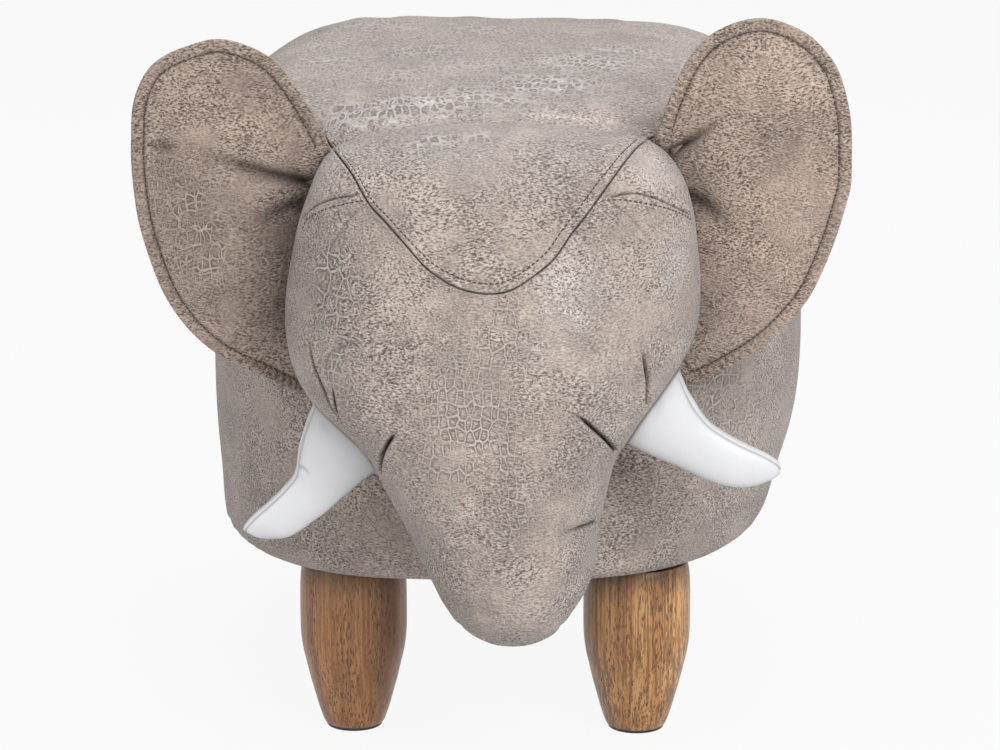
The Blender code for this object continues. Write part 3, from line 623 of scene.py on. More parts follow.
wall_heights = np.linspace(body_bottom + bottom_round, seam_height, 30)[1:-1]
crown_shares = (0.97, 0.92, 0.84, 0.74, 0.62, 0.48, 0.32, 0.15)
body_form = loft("body_form", [
    *(bottom_ring(body_bottom, bottom_round, share) for share in (0.3, 0.6, 0.9)),
    *(bottom_ring(body_bottom + bottom_round * inside, bottom_round * (1 - up))
      for inside, up in edge_arc(12)),
    *(plan_ring(height, 0) for height in wall_heights),
    *(plan_ring(seam_height + top_round * up, top_round * inside) for inside, up in edge_arc(20)),
    *(plan_ring(seat_height - crown * share ** 2, top_round, share) for share in crown_shares)])
print("Body form:", len(body_form.data.vertices), "points, seat seam at", round(seam_height, 4))

# %% [markdown]
# ## The head's form
#
# The head and trunk are one stuffed pouch. Each level of it is an oval with its own width, and with its
# widest line, its front and its back at their own depths. A spline through the levels gives a form
# with no corners.

# %% Head and trunk
head_half_width = 0.113
head_top = seat_height - 5 * MM
head_height = 0.273
head_depth = 0.170
head_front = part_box("face_panel")[0].y
trunk_lean = 0.013
head_squareness = 2.25

# One row for each level: share of the height, of the half width, then shares of the depth at the
# widest line, the front and the back, and of the trunk's lean
head_levels = [
    (1.000, 0.030, 0.245, 0.235, 0.250, 0.97), (0.992, 0.120, 0.243, 0.180, 0.290, 1.00),
    (0.972, 0.205, 0.240, 0.125, 0.340, 1.04), (0.945, 0.262, 0.250, 0.080, 0.390, 0.94),
    (0.900, 0.337, 0.275, 0.038, 0.450, 0.96), (0.835, 0.410, 0.305, 0.018, 0.520, 0.91),
    (0.765, 0.460, 0.335, 0.010, 0.590, 0.54), (0.700, 0.532, 0.375, 0.006, 0.660, 0.31),
    (0.655, 0.575, 0.420, 0.003, 0.760, 0.17), (0.610, 0.662, 0.465, 0.001, 0.850, 0.09),
    (0.560, 0.780, 0.495, 0.000, 0.930, -0.17), (0.500, 0.901, 0.520, 0.003, 0.980, -0.25),
    (0.415, 0.990, 0.545, 0.010, 1.000, 0.01), (0.330, 1.003, 0.560, 0.028, 1.000, 0.13),
    (0.240, 0.976, 0.570, 0.060, 1.000, 0.23), (0.160, 0.935, 0.575, 0.110, 0.990, 0.33),
    (0.100, 0.888, 0.575, 0.170, 0.960, 0.37), (0.055, 0.799, 0.575, 0.245, 0.900, 0.36),
    (0.022, 0.617, 0.575, 0.340, 0.800, 0.32), (0.005, 0.323, 0.575, 0.460, 0.690, 0.27),
    (0.000, 0.050, 0.575, 0.560, 0.590, 0.23)]

head_rings = []
across, along = oval(180, head_squareness)
for drop, width, widest, front, back, lean in spline(head_levels, 6):
    x = head_half_width * width * across + trunk_lean * lean
    reach = np.where(along > 0, back - widest, widest - front) * head_depth
    y = head_front + head_depth * widest + reach * along
    head_rings.append(np.stack([x, y, np.full(len(x), head_top - head_height * drop)], axis=1))
head_form = loft("head_form", head_rings)
print("Head form:", len(head_form.data.vertices), "points")

# %% [markdown]
# ## One skin over both
#
# On the real stool the seat's leather runs on over the head, and the padding fills the neck. Joining
# the two forms, remeshing them by voxels and smoothing only where they meet gives that soft valley.

# %% Join and remesh the two forms
def distance_to(tree, points):
    return np.array([tree.find_nearest(Vector(point))[3] for point in points])


bm = bmesh.new()
for form in (body_form, head_form):
    bm.from_mesh(form.data)
cover = add_object("leather_cover", bpy.data.meshes.new("leather_cover"))
bm.to_mesh(cover.data)
bm.free()
voxels = cover.modifiers.new("Voxels", "REMESH")
voxels.mode = "VOXEL"
voxels.voxel_size = 6 * MM
apply_modifiers(cover)
points = corner_array(cover)
near_both = np.maximum(*(distance_to(surface_tree(form), points) for form in (body_form, head_form)))
for form in (body_form, head_form):
    bpy.data.objects.remove(form, do_unlink=True)
print("Cover after remeshing:", len(cover.data.polygons), "faces")

# %% Smooth the neck, then pull the seat at listed places
neck_reach = 16 * MM

# Middle of a place, its radius, and how far it is pulled
hand_pulls = [
    ((-0.110, 0.200, 0.365), 0.055, (-0.001, 0.000, 0.0042)),
    ((0.030, 0.220, 0.371), 0.070, (0.000, 0.000, -0.0020)),
    ((0.105, 0.210, 0.366), 0.050, (0.000, 0.000, 0.0030))]


def neighbour_mean(points, ends):
    """For each vertex, the mean of its neighbours' places."""
    total, count = np.zeros_like(points), np.zeros(len(points))
    for here, there in (ends.T, ends.T[::-1]):
        np.add.at(total, here, points[there])
        np.add.at(count, here, 1)
    return total / count[:, None]


ends = read_rows(cover.data.edges, "vertices", 2, np.int64)
neck = 1 - smoothstep(near_both, neck_reach * 0.25, neck_reach)
for strength, passes in ((0.5 * neck[:, None], 4), (0.4, 3)):
    points = corner_array(cover)
    for _ in range(passes):
        points += (neighbour_mean(points, ends) - points) * strength
    set_corners(cover, points)
points = corner_array(cover)
for middle, radius, move in hand_pulls:
    points += bell(np.linalg.norm(points - middle, axis=1), radius)[:, None] * np.array(move)
set_corners(cover, points)
print("Smoothed and pulled:", len(points), "points")

# %% [markdown]
# ## Where the seams run
#
# Every seam and crease here is a path on the skin. The paths that the photograph shows are lists of its
# points, put on the skin by rays from the camera. The ones it doesn't show follow the body's form. They
# are functions, because the skin moves once more before it is sewn.

# %% How near a point is to a path
def nearest_on_path(points, path):
    """Distance to a path, and the share of the way along it, for points near it."""
    starts, spans = path[:-1], np.diff(path, axis=0)
    lengths = np.maximum((spans ** 2).sum(axis=1), 1e-14)
    offset = points[:, None, :] - starts[None]
    share = np.clip((offset * spans[None]).sum(axis=2) / lengths, 0, 1)
    gap = np.linalg.norm(offset - share[..., None] * spans[None], axis=2)
    nearest = gap.argmin(axis=1)
    rows = np.arange(len(points))
    return gap[rows, nearest], (nearest + share[rows, nearest]) / len(spans)


def near_path(points, path, reach, run=40):
    """Which points lie within reach of a path, with their distances and shares along it."""
    distances = np.full(len(points), np.inf)
    shares = np.zeros(len(points))
    for first in range(0, len(path) - 1, run):
        part = path[first:first + run + 1]
        low, high = part.min(axis=0) - reach, part.max(axis=0) + reach
        boxed = np.flatnonzero(((points > low) & (points < high)).all(axis=1))
        for start in range(0, len(boxed), 5000):
            some = boxed[start:start + 5000]
            distance, share = nearest_on_path(points[some], part)
            closer = distance < distances[some]
            distances[some[closer]] = distance[closer]
            shares[some[closer]] = (first + share[closer] * (len(part) - 1)) / (len(path) - 1)
    inside = np.flatnonzero(distances < reach)
    return inside, distances[inside], shares[inside]


# %% Paths that the photograph shows
cover_tree = surface_tree(cover)
path_step = 1.0 * MM

forehead_seam_photo = [
    (322, 133), (330, 145), (351, 173), (368, 203), (386, 223), (407, 247), (427, 269), (451, 285),
    (471, 292), (489, 294), (509, 291), (530, 279), (553, 260), (571, 235), (588, 213), (606, 188),
    (627, 159), (641, 144), (660, 134)]
left_brow_photo = [(300, 222), (307, 213), (319, 204), (336, 198), (361, 194)]
right_brow_photo = [(607, 198), (631, 193), (653, 197), (682, 210), (692, 216)]

# Path in the photograph, half width, depth and height of the swelling beside it in millimetres, and
# the shares of its length over which it fades in and out: temples, cheek, trunk and right tusk
photo_creases = [
    ([(363, 204), (349, 219), (339, 232), (329, 252), (324, 267)], 0.8, 0.5, 0.3, 0.1, 0.4),
    ([(610, 201), (630, 217), (644, 233), (652, 246), (657, 258)], 0.8, 0.5, 0.3, 0.1, 0.4),
    ([(306, 330), (309, 345), (313, 363), (320, 381), (327, 396), (335, 413), (342, 425)],
     1.0, 2.4, 0.9, 0.4, 0.25),
    ([(331, 384), (334, 398), (339, 417), (343, 426)], 0.8, 2.4, 0.7, 0.3, 0.35),
    ([(365, 343), (350, 345), (339, 348), (328, 356), (324, 378)], 0.9, 0.6, 0.7, 0.3, 0.3),
    ([(397, 431), (390, 440), (384, 450), (381, 462), (382, 475)], 0.95, 4.6, 1.3, 0.25, 0.08),
    ([(569, 412), (583, 420), (596, 431), (609, 443), (617, 453)], 0.9, 4.4, 1.1, 0.3, 0.16),
    ([(643, 348), (645, 365), (647, 382), (646, 407)], 1.0, 4.6, 1.3, 0.3, 0.08),
    ([(554, 535), (576, 529), (597, 521)], 1.2, 1.3, 0.6, 0.5, 0.1),
    ([(410, 535), (423, 541), (436, 543)], 1.2, 0.8, 0.4, 0.1, 0.6),
]


def path_on(tree, pixels):
    return even_steps(photo_to_surface(spline(pixels, 8), tree), path_step)


# %% Paths that follow the form
# Side seam of head and trunk: share of the depth, share of the height down
side_seam_shares = [
    (0.86, 0.47), (0.71, 0.49), (0.58, 0.58), (0.42, 0.69), (0.31, 0.80), (0.25, 0.90), (0.22, 0.955)]


def cast_from(origin, direction):
    hit = cover_tree.ray_cast(Vector(origin), Vector(direction))[0]
    return None if hit is None else np.array(hit)


def seat_seam_path():
    """Round the body at the seat seam, from one side of the neck to the other."""
    path = []
    for turn in np.radians(np.linspace(-62, 242, 300)):
        hit = cast_from((0, body_middle, seam_height), (math.cos(turn), math.sin(turn), 0))
        if hit is not None and hit[1] > body_front + 8 * MM:
            path.append(hit)
    return even_steps(path, path_step)


def rear_seam_path():
    heights = np.linspace(body_bottom + bottom_round, seam_height, 60)
    return even_steps([cast_from((0, body_middle, height), (0, 1, 0)) for height in heights], path_step)


def side_seam_path(side):
    path = []
    for depth, drop in spline(side_seam_shares, 10):
        origin = (trunk_lean * drop, head_front + head_depth * depth, head_top - head_height * drop)
        path.append(cast_from(origin, (side, 0, 0)))
    return even_steps([point for point in path if point is not None], path_step)


def trunk_tip_path(left_end, right_end):
    """Under the trunk's tip, from one side seam to the other."""
    path = [left_end]
    for share in np.linspace(0.04, 0.96, 30):
        over = left_end + (right_end - left_end) * share
        path.append(cast_from((over[0], over[1], head_top - head_height - 0.03), (0, 0, 1)))
    return even_steps([*path, right_end], path_step)


def seam_paths():
    """Forehead, brows, seat, rear, the two sides of the head, and the trunk's tip."""
    sides = [side_seam_path(side) for side in (-1, 1)]
    shown = [path_on(cover_tree, photo) for photo in (forehead_seam_photo, left_brow_photo, right_brow_photo)]
    return [*shown, seat_seam_path(), rear_seam_path(), *sides, trunk_tip_path(sides[0][-1], sides[1][-1])]


print("Creases in the photograph:", len(photo_creases))

# %% [markdown]
# ## Padding that swells
#
# Foam and stuffing push the leather out, and the seams hold it in. Blender's cloth shows that by itself:
# the points along the seams and under the body are pinned, the skin between them starts a little
# smaller, and a pressure inside blows it up. Twenty steps are enough. A smooth cap on the way out keeps
# the outline where it was measured, the foam hardly lets the skin move in, and one subdivision rounds
# the mesh afterwards.

# %% Swell the cover between its seams
swell_room = 1.6 * MM
swell_cap = 1.9 * MM
foam_give = 0.4 * MM
free_reach = 22 * MM
pinned_reach = 4 * MM
swell_steps = 20


def swell(piece, held):
    """Draw the piece in between its held points, blow it up as cloth, and keep where it comes to rest."""
    points = corner_array(piece)
    finder = KDTree(len(held))
    for place, index in enumerate(held):
        finder.insert(points[index], place)
    finder.balance()
    from_held = np.array([finder.find(point)[2] for point in points])
    room = swell_room * smoothstep(from_held, 0, free_reach)
    normals = normal_array(piece)
    start = points - normals * room[:, None]
    set_corners(piece, start)
    group = piece.vertex_groups.new(name="held")
    group.add([int(index) for index in held], 1.0, "REPLACE")
    cloth = piece.modifiers.new("Padding", "CLOTH")
    cloth.settings.vertex_group_mass = "held"
    cloth.settings.use_pressure = True
    cloth.settings.uniform_pressure_force = 4
    cloth.settings.quality = 4
    cloth.settings.effector_weights.gravity = 0
    cloth.point_cache.frame_end = swell_steps
    for step in range(1, swell_steps + 1):
        bpy.context.scene.frame_set(step)
    settled = corner_array(piece.evaluated_get(bpy.context.evaluated_depsgraph_get()))
    bpy.context.scene.frame_set(1)
    piece.modifiers.clear()
    piece.vertex_groups.clear()
    outward = ((settled - start) * normals).sum(axis=1)
    cap = np.where(outward > 0, swell_cap, foam_give)
    capped = cap * np.tanh(outward / cap)
    set_corners(piece, start + normals * capped[:, None])
    return capped - room


points = corner_array(cover)
pinned = set(np.flatnonzero(points[:, 2] < body_bottom + 4 * MM).tolist())
for path in seam_paths():
    pinned.update(near_path(points, path, pinned_reach)[0].tolist())
shift = swell(cover, sorted(pinned))
moved = [float(value.round(5)) for value in (shift.min(), shift.max())]
print("Pinned:", len(pinned), "of", len(points), "points, moved by", moved)
subdivision = cover.modifiers.new("Round", "SUBSURF")
subdivision.levels = subdivision.render_levels = 1
apply_modifiers(cover)

# %% [markdown]
# ## Seams and creases
#
# A seam pulls the leather down into a narrow valley, and the padding swells on both sides of it. The
# faces near a path are split finer first, so that a valley a millimetre wide is real geometry.

# %% The valleys' widths and depths
cover_tree = surface_tree(cover)


def neck_valley_path():
    """The lowest line between the head's top and the seat."""
    path = []
    for x in np.linspace(-0.070, 0.078, 40):
        depths = np.linspace(body_front - 22 * MM, body_front + 16 * MM, 39)
        down = [cast_from((x, y, seat_height + 0.05), (0, 0, -1)) for y in depths]
        path.append(min((hit for hit in down if hit is not None), key=lambda hit: hit[2]))
    path = np.array(path)
    path[:, 1] = np.convolve(np.pad(path[:, 1], 3, mode="edge"), np.full(7, 1 / 7), mode="valid")
    return np.array([cast_from((x, y, seat_height + 0.05), (0, 0, -1)) for x, y, _ in path])


# The same five numbers for each seam, in the order of seam_paths, and for the neck
seam_sizes = [
    (0.42, 1.6, 0.5, 0.02, 0.02), (0.7, 1.1, 0.45, 0.05, 0.1), (0.7, 1.1, 0.45, 0.1, 0.05),
    (1.1, 2.0, 0.6, 0.01, 0.01), (1.0, 1.4, 0.4, 0.02, 0.02), (1.0, 1.8, 0.7, 0.02, 0.02),
    (1.0, 1.8, 0.7, 0.02, 0.02), (0.8, 1.0, 0.3, 0.02, 0.02), (5.0, 3.5, 0.3, 0.25, 0.15)]
valleys = [(path, *sizes) for path, sizes in zip([*seam_paths(), neck_valley_path()], seam_sizes)]
valleys += [(path_on(cover_tree, pixels), *sizes) for pixels, *sizes in photo_creases]
print("Seam and crease paths:", len(valleys))

# %% Split the faces near the paths, then press the valleys in
def split_near(piece, rows, reach):
    points = corner_array(piece)
    close = np.zeros(len(points), dtype=bool)
    for path, *_ in rows:
        close[near_path(points, path, reach)[0]] = True
    bm = bmesh.new()
    bm.from_mesh(piece.data)
    bm.verts.ensure_lookup_table()
    edges = [edge for edge in bm.edges if close[edge.verts[0].index] or close[edge.verts[1].index]]
    bmesh.ops.subdivide_edges(bm, edges=edges, cuts=1, use_grid_fill=True)
    bmesh.ops.triangulate(bm, faces=[face for face in bm.faces if len(face.verts) > 4])
    bm.to_mesh(piece.data)
    bm.free()


def press_valleys(piece, rows):
    """Move the skin in along each path and out beside it; returns, for each vertex, the dark of a seam line
    or the painted shade in a crease or valley.
    """
    points, normals = corner_array(piece), normal_array(piece)
    move, seam_and_crease_shade = np.zeros(len(points)), np.zeros(len(points))
    for path, *sizes, start_fade, end_fade in rows:
        width, depth, swelling = (size * MM for size in sizes)
        chosen, distance, share = near_path(points, path, width * 9)
        ends = smoothstep(share, -0.001, start_fade) * smoothstep(1 - share, -0.001, end_fade)
        beside = bell(distance - width * 3.2, width * 2.2)
        move[chosen] += ends * (swelling * beside - depth * bell(distance, width))
        # Darkness at the bottom of each valley: the dark line of a seam, and painted shade in creases and the
        # neck
        darkness = ends * bell(distance, 0.9 * width) * min(1, depth / (1.6 * MM))
        seam_and_crease_shade[chosen] = np.maximum(seam_and_crease_shade[chosen], darkness)
    set_corners(piece, points + normals * move[:, None])
    return np.clip(seam_and_crease_shade, 0, 1)


for reach in (5.0 * MM, 3.0 * MM, 1.6 * MM):
    split_near(cover, valleys, reach)
seam_and_crease_shade = press_valleys(cover, valleys)
print("Cover after sewing:", len(cover.data.polygons), "faces")

# %% Paint shade and light, plates and cracks, and the dark of seams with the shade in valleys
# Painted shade and painted light, where a place is shown darker or paler: middle in the photograph, radius,
# change of shade
painted_shade_and_light = [
    ((470, 190), 0.040, -0.09), ((545, 200), 0.036, -0.08), ((505, 345), 0.028, 0.07),
    ((515, 595), 0.032, -0.12), ((625, 320), 0.026, -0.06), ((335, 330), 0.030, -0.09),
    ((400, 290), 0.020, 0.03)]

# The head's top edge, where a pale line of painted highlight runs
ridge_highlight_photo = [(352, 128), (400, 121), (450, 117), (505, 115), (560, 117), (610, 122), (648, 131)]

# Middle in the photograph, radius in metres, strength
cover_spots = {
    "cracked": [
        ((470, 440), 0.034, 1.0), ((450, 395), 0.022, 0.8), ((540, 420), 0.020, 0.5),
        ((520, 500), 0.026, 0.6), ((440, 510), 0.022, 0.5), ((712, 385), 0.022, 1.0),
        ((740, 410), 0.024, 1.0), ((260, 520), 0.024, 0.5), ((330, 370), 0.020, 0.7),
        ((600, 520), 0.020, 0.4), ((700, 470), 0.020, 0.5), ((480, 620), 0.018, 0.7)],
    "plated": [
        ((330, 270), 0.024, 1.0), ((335, 310), 0.022, 1.0), ((345, 350), 0.022, 0.9),
        ((500, 335), 0.026, 0.7), ((480, 370), 0.020, 0.6), ((630, 240), 0.018, 0.4),
        ((560, 470), 0.022, 0.4), ((250, 430), 0.026, 0.3), ((325, 525), 0.022, 0.7),
        ((380, 500), 0.020, 0.7), ((385, 550), 0.020, 0.6)],
    "veined": [
        ((430, 140), 0.016, 0.9), ((480, 136), 0.014, 0.7), ((545, 84), 0.040, 1.0),
        ((585, 62), 0.044, 1.0), ((620, 50), 0.034, 0.8), ((350, 112), 0.022, 1.0),
        ((385, 108), 0.026, 1.0), ((430, 102), 0.030, 1.0), ((465, 96), 0.030, 0.9),
        ((505, 100), 0.024, 0.8), ((420, 50), 0.040, 0.7), ((330, 60), 0.040, 0.7), ((500, 30), 0.044, 0.7),
        ((610, 95), 0.020, 0.5), ((390, 25), 0.044, 0.6), ((400, 75), 0.040, 0.65), ((480, 65), 0.040, 0.6),
        ((660, 60), 0.040, 0.6), ((550, 108), 0.014, 0.6)],
    # Painted highlights: pale glints on the grain where the light catches it
    "dusted": [
        ((573, 292), 0.018, 1.0), ((562, 325), 0.016, 0.9), ((655, 166), 0.013, 1.0),
        ((328, 163), 0.012, 1.0), ((676, 262), 0.014, 0.6), ((520, 600), 0.012, 0.4),
        ((600, 370), 0.012, 0.4), ((470, 160), 0.020, 0.35)],
}


def spots_on(piece, spots, tree):
    """How strongly each vertex lies in one of several round patches."""
    points = corner_array(piece)
    total = np.zeros(len(points))
    for pixel, radius, strength in spots:
        middle = photo_to_surface([pixel], tree)[0]
        total = np.maximum(total, strength * bell(np.linalg.norm(points - middle, axis=1), radius))
    return total


# Painted shade and light on the cover, from the table above
shade = 1 + sum(
    change * spots_on(cover, [(pixel, radius, 1.0)], cover_tree) for pixel, radius, change in painted_shade_and_light)
# A painted highlight along the head's top edge
chosen, distance, _ = near_path(corner_array(cover), path_on(cover_tree, ridge_highlight_photo), 8 * MM)
shade[chosen] += 0.30 * bell(distance, 1.7 * MM)
patches = {name: spots_on(cover, spots, cover_tree) for name, spots in cover_spots.items()}
# The seam value holds the seam lines and the painted shade in the valleys of seams, creases and the neck
paint(cover, seam=seam_and_crease_shade * 0.96, shade=shade, **patches)
cover.data.materials.append(body_leather)
cover.data.shade_smooth()
dress(cover, [
    "top_panel", "left_side_panel", "right_side_panel", "left_temple_panel", "right_temple_panel",
    "face_panel", "throat_panel", "seat_foam", "side_foam", "head_filling"])
print("Painted on the cover:", ", ".join(cover_spots))

# %% [markdown]
# ## Ears
#
# Each ear is two leathers sewn face to face round the edge, turned, lightly padded and topstitched about
# 7 mm in from the edge. Its outline comes from the photograph. The form is a sheet that curves a little
# forward, with a thickness that depends only on how far a point is from the edge: a rounded lip, a flat
# margin up to the stitches, a dip where they pull, then the padding.

# %% Ear outlines and tucks
# Tucks have the numbers of a crease; spots have a middle in the photograph, a radius and a strength.
# The darker spots paint shade on the ear and the paler ones paint light.
ear_photos = {
    "left": {
        "outline": [
            (329, 147), (309, 107), (288, 76), (268, 56), (240, 43), (214, 39), (184, 47), (164, 56),
            (149, 68), (138, 87), (132, 110), (131, 140), (131, 160), (133, 185), (137, 214), (142, 235),
            (150, 260), (161, 288), (175, 312), (195, 336), (222, 357), (260, 375), (304, 393), (322, 372),
            (325, 300), (325, 230), (332, 180)],
        "tucks": [
            ([(322, 187), (308, 184), (292, 180)], 0.8, 3.0, 0.4, 0.02, 0.6),
            ([(318, 185), (300, 181), (273, 176), (248, 169), (222, 161), (196, 150), (171, 138)],
             3.6, 6.5, 3.2, 0.02, 0.8),
            ([(316, 200), (290, 205), (268, 218), (250, 240)], 5.0, 3.0, 1.0, 0.02, 0.8),
            ([(180, 150), (160, 146), (146, 150)], 3.0, 1.0, 0.5, 0.4, 0.4)],
        "plate_spots": [
            ((190, 215), 0.030, 1.0), ((210, 255), 0.026, 1.0), ((160, 185), 0.020, 0.8),
            ((240, 250), 0.020, 0.7), ((225, 300), 0.020, 0.5)],
        "painted_shade_spots": [((285, 220), 0.024, 0.8), ((270, 300), 0.026, 0.6), ((290, 170), 0.012, 0.5)],
        "painted_light_spots": [((220, 130), 0.016, 0.4)]},
    "right": {
        "outline": [
            (658, 139), (663, 117), (673, 89), (688, 59), (709, 36), (734, 23), (762, 18), (788, 24),
            (813, 38), (834, 62), (844, 86), (851, 120), (852, 155), (851, 185), (847, 202), (838, 232),
            (827, 261), (813, 291), (798, 312), (768, 342), (729, 367), (691, 383), (672, 362), (668, 300),
            (668, 230), (662, 175)],
        "tucks": [
            ([(664, 158), (676, 150), (690, 140)], 0.8, 3.0, 0.4, 0.02, 0.6),
            ([(666, 157), (686, 143), (701, 133), (716, 122), (736, 106)], 2.6, 5.0, 2.2, 0.02, 0.8),
            ([(684, 196), (704, 205), (722, 222), (732, 244)], 5.0, 3.0, 1.0, 0.02, 0.8)],
        "plate_spots": [((800, 240), 0.020, 0.6), ((740, 330), 0.022, 0.6), ((770, 290), 0.020, 0.5)],
        "painted_shade_spots": [((700, 200), 0.016, 0.7), ((716, 300), 0.016, 0.6), ((680, 150), 0.010, 0.5)],
        "painted_light_spots": [((795, 245), 0.034, 1.0), ((750, 310), 0.030, 0.8), ((780, 90), 0.030, 0.5)]},
}
ear_root_reach = head_half_width * 0.78
ear_width = 0.1055
ear_cup = 10 * MM
ear_lip = 1.5 * MM
ear_margin = 6.9 * MM
ear_pad = 5.2 * MM


def ear_depth(x):
    """How far forward the ear's middle sheet lies at a distance from the root."""
    return body_front - ear_cup * ((abs(x) - ear_root_reach) / ear_width) ** 2


def photo_to_ear(pixel):
    depth = body_front
    for _ in range(4):
        point = photo_to_plane(pixel, depth)
        depth = ear_depth(point.x)
    return np.array(point)


# %% Ear mesh
sewn_tree = surface_tree(cover)
ear_ring_shares = np.concatenate([
    np.linspace(0, 0.80, 26)[1:], np.linspace(0.80, 0.97, 22)[1:], np.linspace(0.97, 1.0, 8)[1:]])


def ear_thickness(distance, run):
    """Half the ear's thickness, from its distance to the edge and the length along the edge."""
    pucker = np.sin(run / (4.3 * MM) * math.tau + 1.7 * np.sin(run / 0.031)) * (1 + 0.6 * np.sin(run / 0.017))
    puckered = 0.75 * MM * pucker * bell(distance - 4.2 * MM, 2.2 * MM)
    lip = ear_lip * np.sqrt(np.clip(1 - (1 - np.clip(distance / ear_lip, 0, 1)) ** 2, 0, 1))
    padding = ear_pad * smoothstep(distance, ear_margin, ear_margin * 4.2)
    pull = 0.7 * MM * bell(distance - ear_margin, 1.1 * MM)
    return np.maximum(lip + padding + puckered - pull * (distance > ear_lip), 0)


def head_contact_shadow(piece, reach):
    """How near each vertex is to the head's leather, for the painted shadow where two pieces meet."""
    return bell(distance_to(sewn_tree, corner_array(piece)), reach)


def make_ear(side, outline, tucks, plate_spots, painted_shade_spots, painted_light_spots):
    name = f"{side}_ear"
    outline = even_steps(spline([photo_to_ear(pixel) for pixel in outline], 6, closed=True), 1.0 * MM)
    middle = outline.mean(axis=0)
    edge_path = np.vstack([outline, outline[:1]])
    edge_length = np.linalg.norm(np.diff(edge_path, axis=0), axis=1).sum()
    rings, grooves = [], []
    for facing, shares in ((-1, ear_ring_shares), (1, ear_ring_shares[-2::-1])):
        for share in shares:
            ring = middle + (outline - middle) * share
            ring[:, 1] = [ear_depth(x) for x in ring[:, 0]]
            distance, along = nearest_on_path(ring, edge_path)
            if share < 1:
                ring[:, 1] += facing * ear_thickness(distance, along * edge_length)
            rings.append(ring)
            grooves.append(bell(distance - ear_margin, 1.0 * MM))
    ear = loft(name, rings)
    paint(ear, groove=[*np.concatenate(grooves), 0.0, 0.0])
    tree = surface_tree(ear)
    rows = [(path_on(tree, pixels), *sizes) for pixels, *sizes in tucks]
    split_near(ear, rows, 5 * MM)
    seam_and_crease_shade = press_valleys(ear, rows)
    groove = read_rows(ear.data.attributes["groove"].data, "value", 1)[:, 0]
    # Painted shade near the root and on the shaded ear, painted light where it is lit, and a painted shadow
    # where the ear meets the head; the seam value also paints shade into the tucks and the stitch groove
    shade = 1 - 0.3 * spots_on(ear, painted_shade_spots, tree) + 0.4 * spots_on(ear, painted_light_spots, tree)
    plated = spots_on(ear, plate_spots, tree)
    paint(
        ear, seam=np.maximum(seam_and_crease_shade * 0.75, groove * 0.5), shade=shade - 0.5 * head_contact_shadow(ear, 3.0 * MM),
        cracked=plated * 0.8, plated=plated, veined=0.0, dusted=0.0)
    ear.data.materials.append(ear_leather)
    ear.data.shade_smooth()
    dress(ear, [f"{name}_front", f"{name}_back", f"{name}_padding"])
    print(name, len(ear.data.polygons), "faces")
    return ear, outline


ears = {side: make_ear(side, **photo) for side, photo in ear_photos.items()}

# %% [markdown]
# ## Tusks
#
# The tusks are small stuffed horns of white leather. Each one is given by its two edges in the
# photograph. A section at each step joins the edges, as deep as a tusk that was pressed a little flat.

# %% Tusk forms
tusk_plane = body_front - 44 * MM
tusk_flatness = 0.55
tusk_seam_gap = 1.9 * MM
tusk_photos = {
    "left": {
        "outer": [
            (318, 392), (306, 422), (299, 446), (295, 471), (283, 487), (270, 500), (254, 514), (245, 524),
            (243, 529)],
        "inner": [
            (392, 458), (366, 477), (352, 489), (338, 501), (327, 511), (316, 519), (290, 536), (262, 538),
            (250, 534)],
        "folds": [
            ([(299, 467), (304, 470), (310, 477)], 0.9, 1.1, 0.5, 0.1, 0.6),
            ([(320, 412), (327, 424), (337, 438)], 2.6, 1.0, 0.4, 0.4, 0.6)]},
    "right": {
        "outer": [
            (673, 352), (682, 376), (691, 396), (707, 419), (728, 434), (747, 444), (766, 453), (778, 461),
            (781, 467)],
        "inner": [
            (612, 436), (630, 444), (652, 455), (678, 466), (706, 479), (730, 486), (752, 486), (771, 480),
            (780, 474)],
        "folds": [
            ([(664, 388), (655, 408), (650, 430)], 2.6, 1.2, 0.4, 0.4, 0.6),
            ([(686, 398), (692, 406), (700, 420)], 1.6, 0.6, 0.4, 0.4, 0.6)]},
}


def make_tusk(side, outer, inner, folds, around=160):
    name = f"{side}_tusk"
    outer, inner = (spline([photo_to_plane(p, tusk_plane) for p in edge], 13) for edge in (outer, inner))
    angles = full_turn(around)
    rings, seam_line = [], []
    for upper, lower in zip(outer, inner):
        middle, half = (upper + lower) / 2, (upper - lower) / 2
        ring = middle + np.outer(np.cos(angles), half)
        ring[:, 1] += tusk_flatness * np.linalg.norm(half) * powered(np.sin(angles), 0.8)
        rings.append(ring)
        seam_line.append(upper + (lower - upper) * min(0.3, tusk_seam_gap / np.linalg.norm(upper - lower)))
    tusk = loft(name, rings, white_leather)
    points = corner_array(tusk)
    gap = nearest_on_path(points * (1, 0, 1), np.array(seam_line) * (1, 0, 1))[0]
    sunk = (points[:, 1] < tusk_plane) * bell(gap, 0.5 * MM)
    points[:, 1] += 0.6 * MM * sunk
    set_corners(tusk, points)
    tree = surface_tree(tusk)
    rows = [(path_on(tree, pixels), *sizes) for pixels, *sizes in folds]
    pressed = np.maximum(0.5 * sunk, 0.35 * press_valleys(tusk, rows))
    # Painted shadow on the tusk where it meets the head, put into the seam value
    tusk_contact_shadow = 0.9 * head_contact_shadow(tusk, 1.2 * MM) + 0.3 * head_contact_shadow(tusk, 5 * MM)
    paint(tusk, seam=np.maximum(pressed, tusk_contact_shadow))
    dress(tusk, [f"{name}_cover", f"{name}_filling"])
    print(name, len(tusk.data.polygons), "faces")


for side, photo in tusk_photos.items():
    make_tusk(side, **photo)

# %% [markdown]
# ## Stitches
#
# The seams are topstitched in brown thread. Geometry Nodes lay the stitches: a curve is resampled, a
# small stretched ball is placed on every point and turned along the curve, and the instances are made
# real at the end so that the mesh can leave Blender. The staples and the tail's fringe are laid the
# same way, so the first and last steps of the trees are functions.

